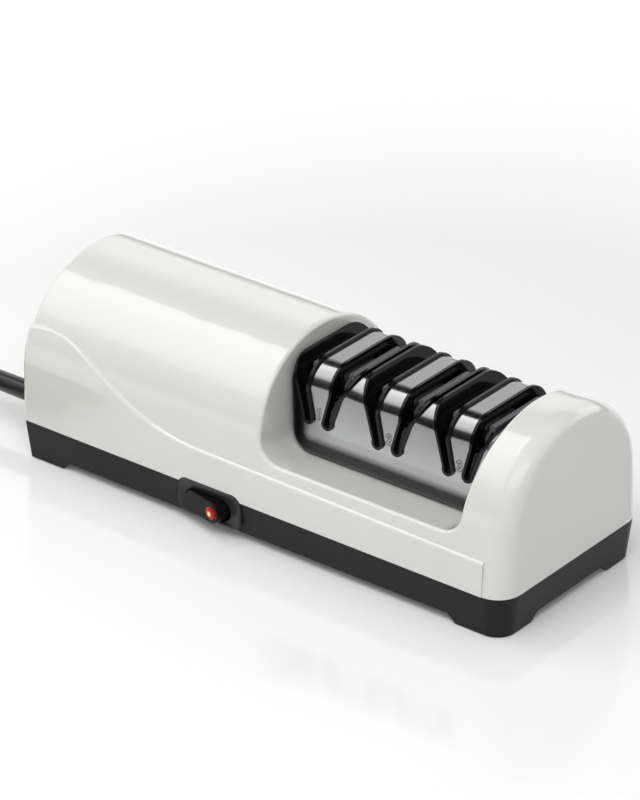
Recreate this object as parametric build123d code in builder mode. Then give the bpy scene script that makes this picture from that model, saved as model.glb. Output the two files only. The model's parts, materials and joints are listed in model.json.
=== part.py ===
"""Three-stage electric knife sharpener: a white arched housing on a black base, a steel-covered
sharpening module in a saddle-shaped recess, and a motor spindle with three sprung pairs of discs.

Frame: +X along the spindle towards the sharpening module, -Y towards the switch side, +Z up.
The origin is the centre of the footprint, on the table.
"""

import os
from math import acos, atan2, cos, degrees, hypot, pi, radians, sin, sqrt

from build123d import *

os.makedirs("parts", exist_ok=True)

# ---------------------------------------------------------------- driving dimensions, millimetres
# housing
length = 275.0
half_width = 52.5  # at the parting line
height = 92.0  # crown of the arch
parting_z = 20.5
wall = 2.5
arch_centre_z = 47.0  # centre of the arch's ellipse
arch_tuck = 2.7  # how far the ellipse lies inside the parting line
side_round = 12.0  # right end: rounding of the sides towards the end face
arch_share = 0.8  # right end: how much of that rounding the arch takes
crown_drop = 4.5  # right end: how far the crown falls towards the end face
round_stations = 7
left_round = 3.0
# raised lower panel with its wave-shaped upper edge
panel_overhang = 0.35
panel_proud = 2.2
wave_start_z = 66.8
wave_crest = (21.3, 69.85)  # distance from the left end, and height
wave_trough = (81.8, 39.5)
wave_end_z = 36.9
wave_radii = (45.0, 90.0)
wave_edge_r = 2.0
# base tray
base_inset = 2.6  # how far the base tapers in at the table
base_corner_left = 2.8
floor_low = 4.5
floor_thick = 2.5
foot_slant = 4.5
foot_long = (21.5, 27.1)  # left and right foot
foot_inner_y = 29.0
pad_r = 6.0
pad_proud = 0.5
pad_depth = 1.5
pad_inset = (12.1, 15.5)  # pad centres from the left and the right end
pad_y = 39.5
vent_count = 7
vent_size = (3.0, 34.0)
vent_pitch = 8.0
# sharpening stages
stage_share = 0.69675  # stage pitch over the half length of the saddle
stage_names = ("coarse", "fine", "polish")
spindle_z = 48.0
# saddle recess
recess_half = 55.4  # half length at recess_level
end_block = 26.5  # solid end of the housing right of the saddle, at recess_level
recess_level = 50.0
recess_lean = 0.081  # opening of the end walls, run over rise
recess_corner = 11.0
ledge_inner = 29.6  # |y| where the ledge starts to rise
ledge_inner_z = 41.0
ledge_rise = 3.6  # how much higher the ledge is at the lip
rim_r = 1.8
# module cover, a hood of bright steel
module_gap = 0.6
module_top = 85.5
module_bend = 13.0
panel_knee_y = 27.2
panel_foot_y = 29.0
panel_knee_z = 73.5
cover_roll = 4.5
cover_thick = 1.0
# module body, black plastic inside the cover
body_gap = 0.12
body_thick = 2.0
slot_rim = 1.35
slot_proud = 1.2
slot_clear = 0.15
slot_foot = (5.3, 60.4)  # offset from the stage centre and height of a slot's round foot
slot_foot_r = 3.0
slot_inner = ((5.6, 74.0), (5.1, 85.5))
slot_knee_gap = 7.0  # from a slot's outer knee to the middle between two stages
slot_top_gap = 1.6
guide_low = (8.3, 61.0)  # lower edge of the slanted guide walls
guide_thick = 1.5
skirt_inset = 4.8  # from the saddle's end to the skirt
skirt_half_y = 22.0
skirt_thick = 1.6
skirt_low = 26.0
skirt_lap = 6.0  # how far the skirt reaches up into the body
post_inset = 5.8
post_y = 15.4
post_size = 9.0
post_high = 5.0
column_r = 4.2
bearing_r = 9.0
# guide arms
arm_pivot = (4.0, 70.0)
arm_top = (9.9, 82.0)
arm_bar = 3.0
arm_web = 1.4
arm_half_y = 17.0
barrel_r = 1.8
pin_r = 0.9
running = 0.05  # radial clearance of a turning fit
seat = 0.02  # radial clearance of a fixed fit
pin_plate = 2.0
pin_plate_gap = 0.3
pin_wall = (1.1, 2.4)  # material beside and below a guide pin
# discs and spindle
shaft_r = 4.0
disc_r = 19.0
disc_inner = 1.2  # inner face, from the stage centre
disc_rim = 2.4
hub_r = 11.0
hub_face = 5.3
collar_r = 6.5
collar_share = 0.197  # collar face from the stage centre, over the stage pitch
pocket_r = (7.3, 10.0)
pocket_depth = 2.6
spring_r = 8.65
spring_wire_r = 0.5
spring_turns = 2.5
spring_high = 5.8
drive_pin_r = 1.6
drive_pin_half = 6.6
drive_slot_depth = 1.5
ring_gap = 0.2
ring_thick = 0.8
ring_groove = 0.6
ring_r = 6.0
# motor
stator_share = 0.218  # thickness of the stator over the room left of the saddle
stator_half = 29.0
stator_corner = 7.0
rotor_r = 17.0
rotor_gap = 0.4
rotor_over = 2.0  # how far the rotor stands out of the stator at both ends
coil_r = (21.2, 25.6)
coil_sweep = 104.0
coil_overhang = 7.0
coil_clear = 0.3
bracket_thick = 3.0
bracket_share = 0.189  # inner face from the stator's middle, over that room
bracket_foot_y = 19.0
bracket_foot_z = 17.5
bracket_flange = 9.0
bush_r = 6.0
bush_long = 9.0
end_bush_gap = 0.5
fan_from_end = (25.0, 34.5)
fan_gap = 3.0  # from the fan to the rear bush
fan_hub_r = 7.0
fan_r = 25.0
fan_blades = 9
fan_plate = 1.2
shaft_from_end = 23.5
shaft_end_gap = 0.2
# screws
screw_r = 1.6
screw_head_r = 3.2
screw_head = 2.2
case_screw_inset = 37.5
case_screw_y = 38.0
boss_r = 4.5
boss_hole = 14.0
tie_corner = 23.5
# switch
bezel_from_end = (93.5, 129.6)
bezel_z = (5.6, 22.6)
bezel_corner = 5.0
bezel_front = 53.2
bezel_thick = 6.0
bezel_edge = 0.5
bezel_dish = 1.2  # how far the face falls from its rim to the rocker
bezel_rim = 0.9
bezel_gap = 0.4
well_inset = (3.2, 6.1)  # from the bezel's left and right edge to the rocker's well
well_z = (7.0, 18.4)
well_depth = 14.0
well_wall = 1.2
rocker_gap = 0.35
rocker_half = 12.0
rocker_tilt = 12.0
rocker_deep = 6.0
rocker_back_half = 7.5
pivot_behind = 3.0
trunnion_r = 1.2
trunnion_long = 0.9
lens_r = 3.2
lens_offset = 6.9
lens_deep = 2.0
lens_proud = 0.3
switch_deep = 7.5
terminal = (0.8, 6.0, 4.8)
# mains lead
lead_y = -30.5
cord_r = 3.5
boot_long = 45.0
boot_r = (5.0, 4.6)
boot_neck_r = 4.5
boot_flange_r = 6.6
boot_flange = 1.8
boot_flange_gap = 0.9
boot_grooves = 5
boot_groove = (1.4, 0.8)
boot_groove_pitch = 5.4
clamp_size = (8.0, 18.0, 13.0)
clamp_inset = 12.5
lead_inset = 10.5
lead_reach = (57.5, 88.5)  # bends of the lead, from the left end outwards
cord_bend_r = 40.0
ring_turn_r = 38.5
ring_bundle_r = 7.0
ring_reach = 112.5
cord_floor = 3.8
tail_run = (26.0, 54.0)  # bend and end of the tail, from the coil's centre
tail_side = 1.0
tail_bend_r = 45.0
tie_wrap = 1.2
tie_wide = 6.0
plug_size = (32.0, 24.0, 13.0)
plug_corner = 4.0
plug_nose = 8.0
blade = (16.0, 1.5, 6.3)
blade_half_gap = 6.35

# ---------------------------------------------------------------- derived places
x_left = -length / 2
x_right = length / 2
round_start = x_right - side_round
arch_a = half_width - arch_tuck
arch_b = height - arch_centre_z
wave_crest_point = (x_left + wave_crest[0], wave_crest[1])
wave_trough_point = (x_left + wave_trough[0], wave_trough[1])
foot_inner_x = (x_left + foot_long[0], x_right - foot_long[1])
pad_x = (x_left + pad_inset[0], x_right - pad_inset[1])
case_screw_x = x_right - case_screw_inset
stage_pitch = stage_share * recess_half
stage_mid_x = x_right - end_block - recess_half
stage_x = [stage_mid_x + k * stage_pitch for k in (-1, 0, 1)]
slot_outer = (
    (stage_pitch / 2 - slot_knee_gap, slot_inner[0][1]),
    (stage_pitch / 2 - slot_top_gap, slot_inner[1][1]),
)
skirt_half_x = recess_half - skirt_inset
post_x = skirt_half_x - post_inset
collar_face = collar_share * stage_pitch
floor_top = floor_low + floor_thick
bush_bore = shaft_r + running
ring_offset = collar_face + ring_gap
end_bush_x = (
    stage_x[-1] + ring_offset + ring_thick + end_bush_gap,
    stage_mid_x + skirt_half_x,
)
shaft_x = (x_left + shaft_from_end, end_bush_x[1] - shaft_end_gap)
fan_x = (x_left + fan_from_end[0], x_left + fan_from_end[1])
motor_room = stage_mid_x - recess_half - x_left
bracket_off = bracket_share * motor_room
stator_thick = stator_share * motor_room
rotor_long = stator_thick + 2 * rotor_over
stator_x = fan_x[1] + fan_gap + bush_long + bracket_thick + bracket_off
body_inset = cover_thick + body_gap
bezel_x = (x_left + bezel_from_end[0], x_left + bezel_from_end[1])
well_x = (bezel_x[0] + well_inset[0], bezel_x[1] - well_inset[1])
clamp_x = x_left + clamp_inset
ring_centre = (x_left - ring_reach, lead_y - ring_turn_r)


def save(piece, name):
    """Label a finished piece and write it as one STEP file."""
    piece.label = name
    export_step(piece, f"parts/{name}.step")


# ---------------------------------------------------------------- shared forms
def arch_tangent(half, axis_y, axis_z):
    """Parameter of the ellipse where a line from (half, parting_z) touches it."""
    reach = axis_y * (arch_centre_z - parting_z) / axis_z
    return acos(axis_y / hypot(half, reach)) - atan2(reach, half)


def arch_section(x, half, axis_y, axis_z, low_z):
    """Arch in the plane X = x: leaning sides, tangent to the ellipse that forms the crown."""
    start = arch_tangent(half, axis_y, axis_z)
    side_y = axis_y * cos(start)
    side_z = arch_centre_z + axis_z * sin(start)
    low_y = half + (parting_z - low_z) * (half - side_y) / (side_z - parting_z)
    with BuildSketch(Plane.YZ.offset(x)) as section:
        with BuildLine():
            Polyline((side_y, side_z), (low_y, low_z), (-low_y, low_z), (-side_y, side_z))
            EllipticalCenterArc(
                (0, arch_centre_z), axis_y, axis_z, degrees(start), arc_size=180 - 2 * degrees(start)
            )
        make_face()
    return section.sketch


def housing_form(inset, low_z):
    """Outer form of the housing, moved inwards by inset, with the right end rounded."""
    turn_r = side_round - inset
    sections = []
    for k in range(round_stations):
        angle = pi / 2 * k / (round_stations - 1)
        turned = 1 - cos(angle)
        side_y = half_width - inset - turn_r * turned
        axis_y = arch_a - inset - arch_share * turn_r * turned
        axis_z = arch_b - inset - crown_drop * turned
        sections.append(arch_section(round_start + turn_r * sin(angle), side_y, axis_y, axis_z, low_z))
    start = arch_section(x_left + inset, half_width - inset, arch_a - inset, arch_b - inset, low_z)
    with BuildPart() as form:
        loft(sections)
        extrude(start, amount=round_start - x_left - inset)
        if left_round > inset:
            end = form.faces().sort_by(Axis.X)[0]
            fillet([e for e in end.edges() if e.center().Z > low_z + 0.1], left_round - inset)
    return form.part


def recess_outline(grow, low_z, y=0.0):
    """Saddle outline in the plane Y = y, widened by grow: leaning end walls, round lower corners."""
    top_z = height + 10
    half_top = recess_half + grow + recess_lean * (top_z - recess_level)
    half_low = recess_half + grow + recess_lean * (low_z - recess_level)
    with BuildSketch(Plane.XZ.offset(-y)) as outline:
        with BuildLine():
            Polyline(
                (stage_mid_x - half_low, low_z),
                (stage_mid_x + half_low, low_z),
                (stage_mid_x + half_top, top_z),
                (stage_mid_x - half_top, top_z),
                close=True,
            )
        make_face()
        fillet(outline.vertices().sort_by(Axis.Y)[:2], recess_corner + grow)
    return outline.sketch


def recess_form(grow):
    """The saddle: level across the module, with a ledge that rises to the lip on both sides."""
    slope = ledge_rise / (half_width - ledge_inner)
    reach = half_width + 4 - ledge_inner
    with BuildPart() as form:
        extrude(recess_outline(grow, ledge_inner_z - grow), amount=ledge_inner, both=True)
        for side in (-1, 1):
            outline = recess_outline(grow, ledge_inner_z - grow, side * ledge_inner)
            extrude(outline, amount=reach * hypot(1, slope), dir=(0, side, slope))
    return form.part


def module_form(inset):
    """Form of the module cover moved inwards by inset: a bent hood with all its edges rolled in."""
    slope = (panel_foot_y - panel_knee_y) / (panel_knee_z - ledge_inner_z)
    top_z = module_top - inset
    low_z = ledge_inner_z + inset
    low_y = panel_foot_y - inset
    high_y = low_y - slope * (top_z - low_z)
    with BuildPart() as form:
        with BuildSketch(Plane.YZ.offset(stage_mid_x - recess_half - end_block / 2)) as profile:
            with BuildLine():
                Polyline((low_y, low_z), (high_y, top_z), (-high_y, top_z), (-low_y, low_z), close=True)
            make_face()
            fillet(profile.vertices().sort_by(Axis.Y)[2:], module_bend - inset)
        extrude(amount=2 * recess_half + end_block)
        extrude(recess_outline(-module_gap - inset, low_z), amount=60, both=True, mode=Mode.INTERSECT)
        roll = [
            edge
            for edge in form.edges()
            if abs(edge.tangent_at(0.5).Y) < 0.9 and abs(edge.tangent_at(0.5).X) < 0.999
            or (abs(edge.tangent_at(0.5).X) > 0.9 and edge.center().Z < low_z + 1)
        ]
        fillet(roll, cover_roll - inset)
    return form.part


def slot_outline(x, side, grow):
    """Front outline of one knife slot in the XZ plane: a slanted, round-footed funnel."""
    foot_r = slot_foot_r + grow
    spread = (slot_outer[1][0] - slot_outer[0][0]) / (slot_outer[1][1] - slot_outer[0][1])
    top_z = slot_inner[1][1] + 8
    points = [
        (slot_foot[0] - foot_r * 0.96, slot_foot[1] + foot_r * 0.28),
        (slot_inner[0][0] - grow, slot_inner[0][1]),
        (slot_inner[1][0] - grow, slot_inner[1][1]),
        (slot_inner[1][0] - grow, top_z),
        (slot_outer[1][0] + grow + 8 * spread, top_z),
        (slot_outer[0][0] + grow, slot_outer[0][1]),
        (slot_foot[0] + foot_r * 0.96, slot_foot[1] + foot_r * 0.28),
    ]
    placed = [(x + side * px, pz) for px, pz in points]
    with BuildSketch(Plane.XZ) as outline:
        with BuildLine():
            Polyline(*placed)
            ThreePointArc(placed[-1], (x + side * slot_foot[0], slot_foot[1] - foot_r), placed[0])
        make_face()
    return outline.sketch


def slots(grow):
    """All six knife slots as bars that run through the module from front to back."""
    with BuildPart() as bars:
        for x in stage_x:
            for side in (-1, 1):
                extrude(slot_outline(x, side, grow), amount=40, both=True)
    return bars.part


def rod_x(x_from, x_to, radius, y=0.0, z=spindle_z):
    """Plain cylinder along X, used to build or to cut."""
    with BuildPart() as tool:
        with BuildSketch(Plane.YZ.offset(x_from)):
            with Locations((y, z)):
                Circle(radius)
        extrude(amount=x_to - x_from)
    return tool.part


def block(x_range, y_range, z_range):
    """Plain box between three pairs of limits, used to build or to cut."""
    with BuildPart() as tool:
        centre = [(pair[0] + pair[1]) / 2 for pair in (x_range, y_range, z_range)]
        with Locations(tuple(centre)):
            Box(x_range[1] - x_range[0], y_range[1] - y_range[0], z_range[1] - z_range[0])
    return tool.part


def screw_from_below(z_head, z_tip):
    """Screw along Z with its flat head downwards, in a sketch revolved about the Z axis."""
    with BuildPart() as screw:
        with BuildSketch(Plane.XZ):
            with BuildLine():
                Polyline(
                    (0, z_head),
                    (screw_head_r, z_head),
                    (screw_head_r, z_head + screw_head),
                    (screw_r, z_head + screw_head),
                    (screw_r, z_tip),
                    (0, z_tip),
                    close=True,
                )
            make_face()
        revolve(axis=Axis.Z)
    return screw.part


def bezel_outline(grow, y):
    """Outline of the switch bezel in the plane Y = y."""
    with BuildSketch(Plane.XZ.offset(-y)) as outline:
        with Locations((sum(bezel_x) / 2, sum(bezel_z) / 2)):
            RectangleRounded(
                bezel_x[1] - bezel_x[0] + 2 * grow, bezel_z[1] - bezel_z[0] + 2 * grow, bezel_corner + grow
            )
    return outline.sketch


# ---------------------------------------------------------------- housing
case_screws = [(sx * case_screw_x, sy * case_screw_y) for sx in (-1, 1) for sy in (-1, 1)]


def on_rim(edge):
    """True for the edges where the saddle meets the outside of the arch."""
    point = edge.center() if edge.length < 1 else edge.position_at(0.5)
    start = arch_tangent(half_width, arch_a, arch_b)
    bend_z = arch_centre_z + arch_b * sin(start)
    if point.Z < bend_z:
        share = (point.Z - parting_z) / (bend_z - parting_z)
        surface_y = half_width + (arch_a * cos(start) - half_width) * share
    else:
        surface_y = arch_a * sqrt(max(1 - ((point.Z - arch_centre_z) / arch_b) ** 2, 0))
    inside = abs(point.X - stage_mid_x) < recess_half + 6 and point.Z > ledge_inner_z
    along = abs(edge.tangent_at(0.5).X) > 0.999 and point.Z > ledge_inner_z + 8
    return inside and abs(abs(point.Y) - surface_y) < 0.02 and not along


def on_wave(edge):
    """True for the long outer edges of the wave-shaped top of the panel."""
    point = edge.position_at(0.5)
    along = abs(edge.tangent_at(0.5).X) > 0.6 and point.X > x_left + left_round / 2
    upper_end = edge.length > 2 * left_round and abs(point.Z - bend_of_panel) < 0.2 and point.X < wave_trough_point[0]
    outer = abs(point.Y) > half_width / 2 and point.Z > wave_end_z
    return along and outer and not (upper_end and edge.length > wave_radii[0])


bend_of_panel = arch_centre_z + (arch_b + panel_proud) * sin(
    arch_tangent(half_width + panel_overhang, arch_a + panel_proud, arch_b + panel_proud)
)

with BuildPart() as wave_panel:
    section = arch_section(
        x_left, half_width + panel_overhang, arch_a + panel_proud, arch_b + panel_proud, parting_z
    )
    extrude(section, amount=round_start - x_left)
    panel_end = wave_panel.faces().sort_by(Axis.X)[0]
    fillet([e for e in panel_end.edges() if e.center().Z > parting_z + 0.1], left_round)
    with BuildSketch(Plane.XZ.offset(-half_width - 10)):
        with BuildLine():
            wave = FilletPolyline(
                (x_left - 5, wave_start_z - 0.7),
                wave_crest_point,
                wave_trough_point,
                (x_right, wave_end_z),
                radius=wave_radii,
            )
            Polyline(wave @ 1, (x_right, parting_z - 5), (x_left - 5, parting_z - 5), wave @ 0)
        make_face()
    extrude(amount=2 * half_width + 20, mode=Mode.INTERSECT)
    fillet([edge for edge in wave_panel.edges() if on_wave(edge)], wave_edge_r)


def tray_outline(inset, z):
    """Outline of the base tray in the plane Z = z: round corners at the right, small ones at the left."""
    with BuildSketch(Plane.XY.offset(z)) as outline:
        Rectangle(length - 2 * inset, 2 * (half_width - inset))
        fillet(outline.vertices().sort_by(Axis.X)[2:], side_round - inset)
        fillet(outline.vertices().sort_by(Axis.X)[:2], max(left_round - inset, 0.3))
    return outline.sketch


def tray_form(inset, low_z):
    """Tray body that tapers in towards the table, moved inwards by inset."""
    lean = base_inset / parting_z
    with BuildPart() as form:
        loft([tray_outline(inset + lean * (parting_z - low_z), low_z), tray_outline(inset, parting_z)])
    return form.part


# ---------------------------------------------------------------- tools shared by housing and base
floor_opening = block(
    (stage_mid_x - skirt_half_x - 0.3, stage_mid_x + skirt_half_x + 0.3),
    (-skirt_half_y - 0.4, skirt_half_y + 0.4),
    (ledge_inner_z - wall - 1, ledge_inner_z + 5),
)
shaft_notch_r = shaft_r + 1.5
shaft_notch = block(
    (stage_mid_x - recess_half - 8, stage_mid_x - recess_half + 4),
    (-shaft_notch_r, shaft_notch_r),
    (ledge_inner_z - wall - 1, spindle_z + shaft_notch_r),
)
cord_hole = rod_x(x_left - 1, x_left + wall + 1, boot_neck_r + seat, lead_y, parting_z)
case_screw_tool = screw_from_below(floor_low - screw_head, floor_top + boss_hole - 1)
bezel_cut_y = bezel_front - bezel_thick
tube_x = (well_x[0] - well_wall, well_x[1] + well_wall)
tube_z = (well_z[0] - well_wall, well_z[1] + well_wall)
post_points = [(stage_mid_x + sx * post_x, sy * post_y) for sx in (-1, 1) for sy in (-1, 1)]
flange_points = [
    (stator_x + side * (bracket_off + bracket_thick + bracket_flange / 2), y)
    for side in (-1, 1)
    for y in (-14.0, 14.0)
]
clamp_points = [(clamp_x, lead_y + side * 6.4) for side in (-1, 1)]

# ---------------------------------------------------------------- housing
with BuildPart() as boss_room:
    add(housing_form(wall - 0.5, floor_top))
    add(recess_form(wall - 0.5), mode=Mode.SUBTRACT)

with BuildPart() as bosses:
    with BuildSketch(Plane.XY.offset(floor_top)):
        with Locations(*case_screws):
            Circle(boss_r)
    extrude(amount=height - floor_top)
    add(boss_room.part, mode=Mode.INTERSECT)

with BuildPart() as cavity:
    add(housing_form(wall, parting_z - 5))
    add(recess_form(wall), mode=Mode.SUBTRACT)

with BuildPart() as main_housing:
    add(housing_form(0, parting_z))
    add(recess_form(0), mode=Mode.SUBTRACT)
    fillet([edge for edge in main_housing.edges() if on_rim(edge)], rim_r)
    add(wave_panel.part)
    add(cavity.part, mode=Mode.SUBTRACT)
    add(bosses.part)
    with BuildSketch(Plane.XY.offset(floor_top)):
        with Locations(*case_screws):
            Circle(screw_r + seat)
    extrude(amount=boss_hole, mode=Mode.SUBTRACT)
    add(floor_opening, mode=Mode.SUBTRACT)
    add(shaft_notch, mode=Mode.SUBTRACT)
    add(cord_hole, mode=Mode.SUBTRACT)
    extrude(bezel_outline(bezel_gap, -bezel_cut_y + 1.0), amount=20, mode=Mode.SUBTRACT)
save(main_housing.part, "main_housing")

# ---------------------------------------------------------------- base tray, its pads and screws
with BuildPart() as base_tray:
    add(tray_form(0, pad_proud))
    add(tray_form(wall, floor_top), mode=Mode.SUBTRACT)
    with BuildSketch(Plane.XZ.offset(-half_width - 5)):
        with BuildLine():
            Polyline(
                (foot_inner_x[0], 0),
                (foot_inner_x[1], 0),
                (foot_inner_x[1] - foot_slant, floor_low),
                (foot_inner_x[0] + foot_slant, floor_low),
                close=True,
            )
        make_face()
    extrude(amount=2 * half_width + 10, mode=Mode.SUBTRACT)
    with BuildSketch(Plane.YZ.offset(x_left - 5)):
        with BuildLine():
            Polyline(
                (-foot_inner_y, 0),
                (foot_inner_y, 0),
                (foot_inner_y - foot_slant, floor_low),
                (-foot_inner_y + foot_slant, floor_low),
                close=True,
            )
        make_face()
    extrude(amount=length + 10, mode=Mode.SUBTRACT)
    # screw posts for the module, the motor and the lead
    with BuildSketch(Plane.XY.offset(floor_top)):
        with Locations(*post_points):
            Circle(column_r)
    extrude(amount=skirt_low - floor_top)
    add(
        block(
            (clamp_x - clamp_size[0] / 2, clamp_x + clamp_size[0] / 2),
            (lead_y - clamp_size[1] / 2, lead_y + clamp_size[1] / 2),
            (floor_top, parting_z - clamp_size[2] / 2),
        )
    )
    with BuildSketch(Plane.XY.offset(floor_low - 1)):
        with Locations(*case_screws, *post_points, *flange_points):
            Circle(screw_r + seat)
    extrude(amount=skirt_low, mode=Mode.SUBTRACT)
    with BuildSketch(Plane.XY.offset(parting_z - clamp_size[2] / 2 - 5)):
        with Locations(*clamp_points):
            Circle(screw_r + seat)
    extrude(amount=6, mode=Mode.SUBTRACT)
    # recesses for the pads, cooling slots, switch and lead
    with BuildSketch(Plane.XY.offset(pad_proud)):
        with Locations(*[(x, side * pad_y) for x in pad_x for side in (-1, 1)]):
            Circle(pad_r + seat)
    extrude(amount=pad_depth, mode=Mode.SUBTRACT)
    with BuildSketch(Plane.XY.offset(floor_low - 1)):
        with Locations((stator_x, 0)):
            with GridLocations(vent_pitch, 0, vent_count, 1):
                SlotOverall(vent_size[1], vent_size[0], rotation=90)
    extrude(amount=floor_thick + 2, mode=Mode.SUBTRACT)
    extrude(bezel_outline(seat, -bezel_cut_y), amount=20, mode=Mode.SUBTRACT)
    add(
        block(
            (tube_x[0] - seat, tube_x[1] + seat),
            (-bezel_front, -bezel_front + well_depth + switch_deep + 0.2),
            (floor_low - 1, tube_z[1] + seat),
        ),
        mode=Mode.SUBTRACT,
    )
    add(cord_hole, mode=Mode.SUBTRACT)
save(base_tray.part, "base_tray")

with BuildPart() as foot_pads:
    with BuildSketch(Plane.XY):
        with Locations(*[(x, side * pad_y) for x in pad_x for side in (-1, 1)]):
            Circle(pad_r)
    extrude(amount=pad_depth + pad_proud)
    chamfer(foot_pads.faces().sort_by(Axis.Z)[:4].edges(), 0.3)
save(foot_pads.part, "foot_pads")

with BuildPart() as case_screw_set:
    with Locations(*case_screws):
        add(case_screw_tool)
save(case_screw_set.part, "case_screws")

# ---------------------------------------------------------------- module: steel cover
slot_holes = slots(slot_clear)
left_shaft_hole = rod_x(stage_mid_x - recess_half - 5, stage_mid_x - recess_half + 12, shaft_r + 1.2)
module_opening = block(
    (stage_mid_x - skirt_half_x - 0.15, stage_mid_x + skirt_half_x + 0.15),
    (-skirt_half_y - 0.2, skirt_half_y + 0.2),
    (ledge_inner_z - 1, ledge_inner_z + 5),
)
with BuildPart() as steel_cover:
    add(module_form(0))
    add(module_form(cover_thick), mode=Mode.SUBTRACT)
    add(module_opening, mode=Mode.SUBTRACT)
    add(left_shaft_hole, mode=Mode.SUBTRACT)
    add(slot_holes, mode=Mode.SUBTRACT)
save(steel_cover.part, "steel_cover")

# ---------------------------------------------------------------- module: black body
slot_voids = slots(-slot_rim)
inner_room = module_form(body_inset + body_thick)

with BuildPart() as rims:
    add(slots(0))
    add(module_form(-slot_proud), mode=Mode.INTERSECT)
    add(inner_room, mode=Mode.SUBTRACT)

with BuildPart() as guide_walls:
    for x in stage_x:
        for side in (-1, 1):
            corners = [
                (guide_low[0] - slot_rim, guide_low[1]),
                (slot_outer[0][0] - slot_rim, slot_outer[0][1]),
                (slot_outer[1][0] - slot_rim, slot_outer[1][1]),
                (slot_outer[1][0] - slot_rim + guide_thick, slot_outer[1][1]),
                (slot_outer[0][0] - slot_rim + guide_thick, slot_outer[0][1]),
                (guide_low[0] - slot_rim + guide_thick, guide_low[1]),
            ]
            with BuildSketch(Plane.XZ):
                with BuildLine():
                    Polyline(*[(x + side * px, pz) for px, pz in corners], close=True)
                make_face()
            extrude(amount=30, both=True)
    add(module_form(body_inset + body_thick / 2), mode=Mode.INTERSECT)

with BuildPart() as pin_plates:
    for x in stage_x:
        corners = [
            (arm_pivot[0] + pin_wall[0], arm_pivot[1] - pin_wall[1]),
            (slot_inner[0][0] + slot_rim / 2, slot_inner[0][1]),
            (slot_inner[1][0] + slot_rim / 2, module_top - body_inset - body_thick / 2),
        ]
        outline = [(x + px, pz) for px, pz in corners]
        outline += [(x - px, pz) for px, pz in reversed(corners)]
        for y in (arm_half_y + pin_plate_gap, -arm_half_y - pin_plate_gap - pin_plate):
            with BuildSketch(Plane.XZ.offset(-y - pin_plate)):
                with BuildLine():
                    Polyline(*outline, close=True)
                make_face()
            extrude(amount=pin_plate)

with BuildPart() as module_body:
    add(module_form(body_inset))
    add(inner_room, mode=Mode.SUBTRACT)
    add(module_opening, mode=Mode.SUBTRACT)
    add(rims.part)
    add(guide_walls.part)
    add(pin_plates.part)
    # skirt that reaches down to the posts of the base, with a block in each corner
    skirt_x = (stage_mid_x - skirt_half_x, stage_mid_x + skirt_half_x)
    skirt_top = ledge_inner_z + skirt_lap
    add(block(skirt_x, (skirt_half_y - skirt_thick, skirt_half_y), (skirt_low, skirt_top)))
    add(block(skirt_x, (-skirt_half_y, -skirt_half_y + skirt_thick), (skirt_low, skirt_top)))
    for end in (-1, 1):
        wall_x = sorted((stage_mid_x + end * skirt_half_x, stage_mid_x + end * (skirt_half_x - skirt_thick)))
        add(block(wall_x, (-skirt_half_y, skirt_half_y), (skirt_low, skirt_top)))
        post_range = sorted((stage_mid_x + end * skirt_half_x, stage_mid_x + end * (post_x - post_size / 2)))
        for side in (-1, 1):
            y_range = sorted((side * skirt_half_y, side * (post_y - post_size / 2)))
            add(block(post_range, y_range, (skirt_low, skirt_low + post_high)))
    add(rod_x(end_bush_x[0], end_bush_x[1], bearing_r))
    add(slot_voids, mode=Mode.SUBTRACT)
    add(left_shaft_hole, mode=Mode.SUBTRACT)
    add(rod_x(end_bush_x[0] - 1, end_bush_x[1], bush_r + seat), mode=Mode.SUBTRACT)
    for x in stage_x:
        with BuildSketch(Plane.XZ.offset(-arm_half_y - 4)):
            with Locations(*[(x + side * arm_pivot[0], arm_pivot[1]) for side in (-1, 1)]):
                Circle(pin_r + seat)
        extrude(amount=2 * arm_half_y + 8, mode=Mode.SUBTRACT)
    with BuildSketch(Plane.XY.offset(skirt_low)):
        with Locations(*post_points):
            Circle(screw_r + seat)
    extrude(amount=post_high - 1, mode=Mode.SUBTRACT)
save(module_body.part, "module_body")

with BuildPart() as module_screws:
    with Locations(*post_points):
        add(screw_from_below(floor_low - screw_head, skirt_low + post_high - 1.5))
save(module_screws.part, "module_screws")

# ---------------------------------------------------------------- guide arms on their pins
with BuildPart() as guide_pins:
    for x in stage_x:
        with BuildSketch(Plane.XZ.offset(-arm_half_y - pin_plate_gap - pin_plate)):
            with Locations(*[(x + side * arm_pivot[0], arm_pivot[1]) for side in (-1, 1)]):
                Circle(pin_r)
        extrude(amount=2 * (arm_half_y + pin_plate_gap + pin_plate))
save(guide_pins.part, "guide_pins")

for stage, x in zip(stage_names, stage_x):
    for side, hand in ((-1, "left"), (1, "right")):
        pivot = (x + side * arm_pivot[0], arm_pivot[1])
        top = (x + side * arm_top[0], arm_top[1])
        run = hypot(top[0] - pivot[0], top[1] - pivot[1])
        across = ((top[1] - pivot[1]) / run * arm_web / 2, -(top[0] - pivot[0]) / run * arm_web / 2)
        with BuildPart() as guide_arm:
            with BuildSketch(Plane.XZ):
                with Locations(pivot):
                    Circle(barrel_r)
                with BuildLine():
                    Polyline(
                        (pivot[0] + across[0], pivot[1] + across[1]),
                        (top[0] + across[0], top[1] + across[1] - 1),
                        (top[0] - across[0], top[1] - across[1] - 1),
                        (pivot[0] - across[0], pivot[1] - across[1]),
                        close=True,
                    )
                make_face()
                with Locations((top[0], top[1] - arm_bar / 2)):
                    RectangleRounded(arm_bar, arm_bar, arm_bar / 4)
                with Locations(pivot):
                    Circle(pin_r + running, mode=Mode.SUBTRACT)
            extrude(amount=arm_half_y, both=True)
        save(guide_arm.part, f"guide_arm_{stage}_{hand}")

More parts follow.
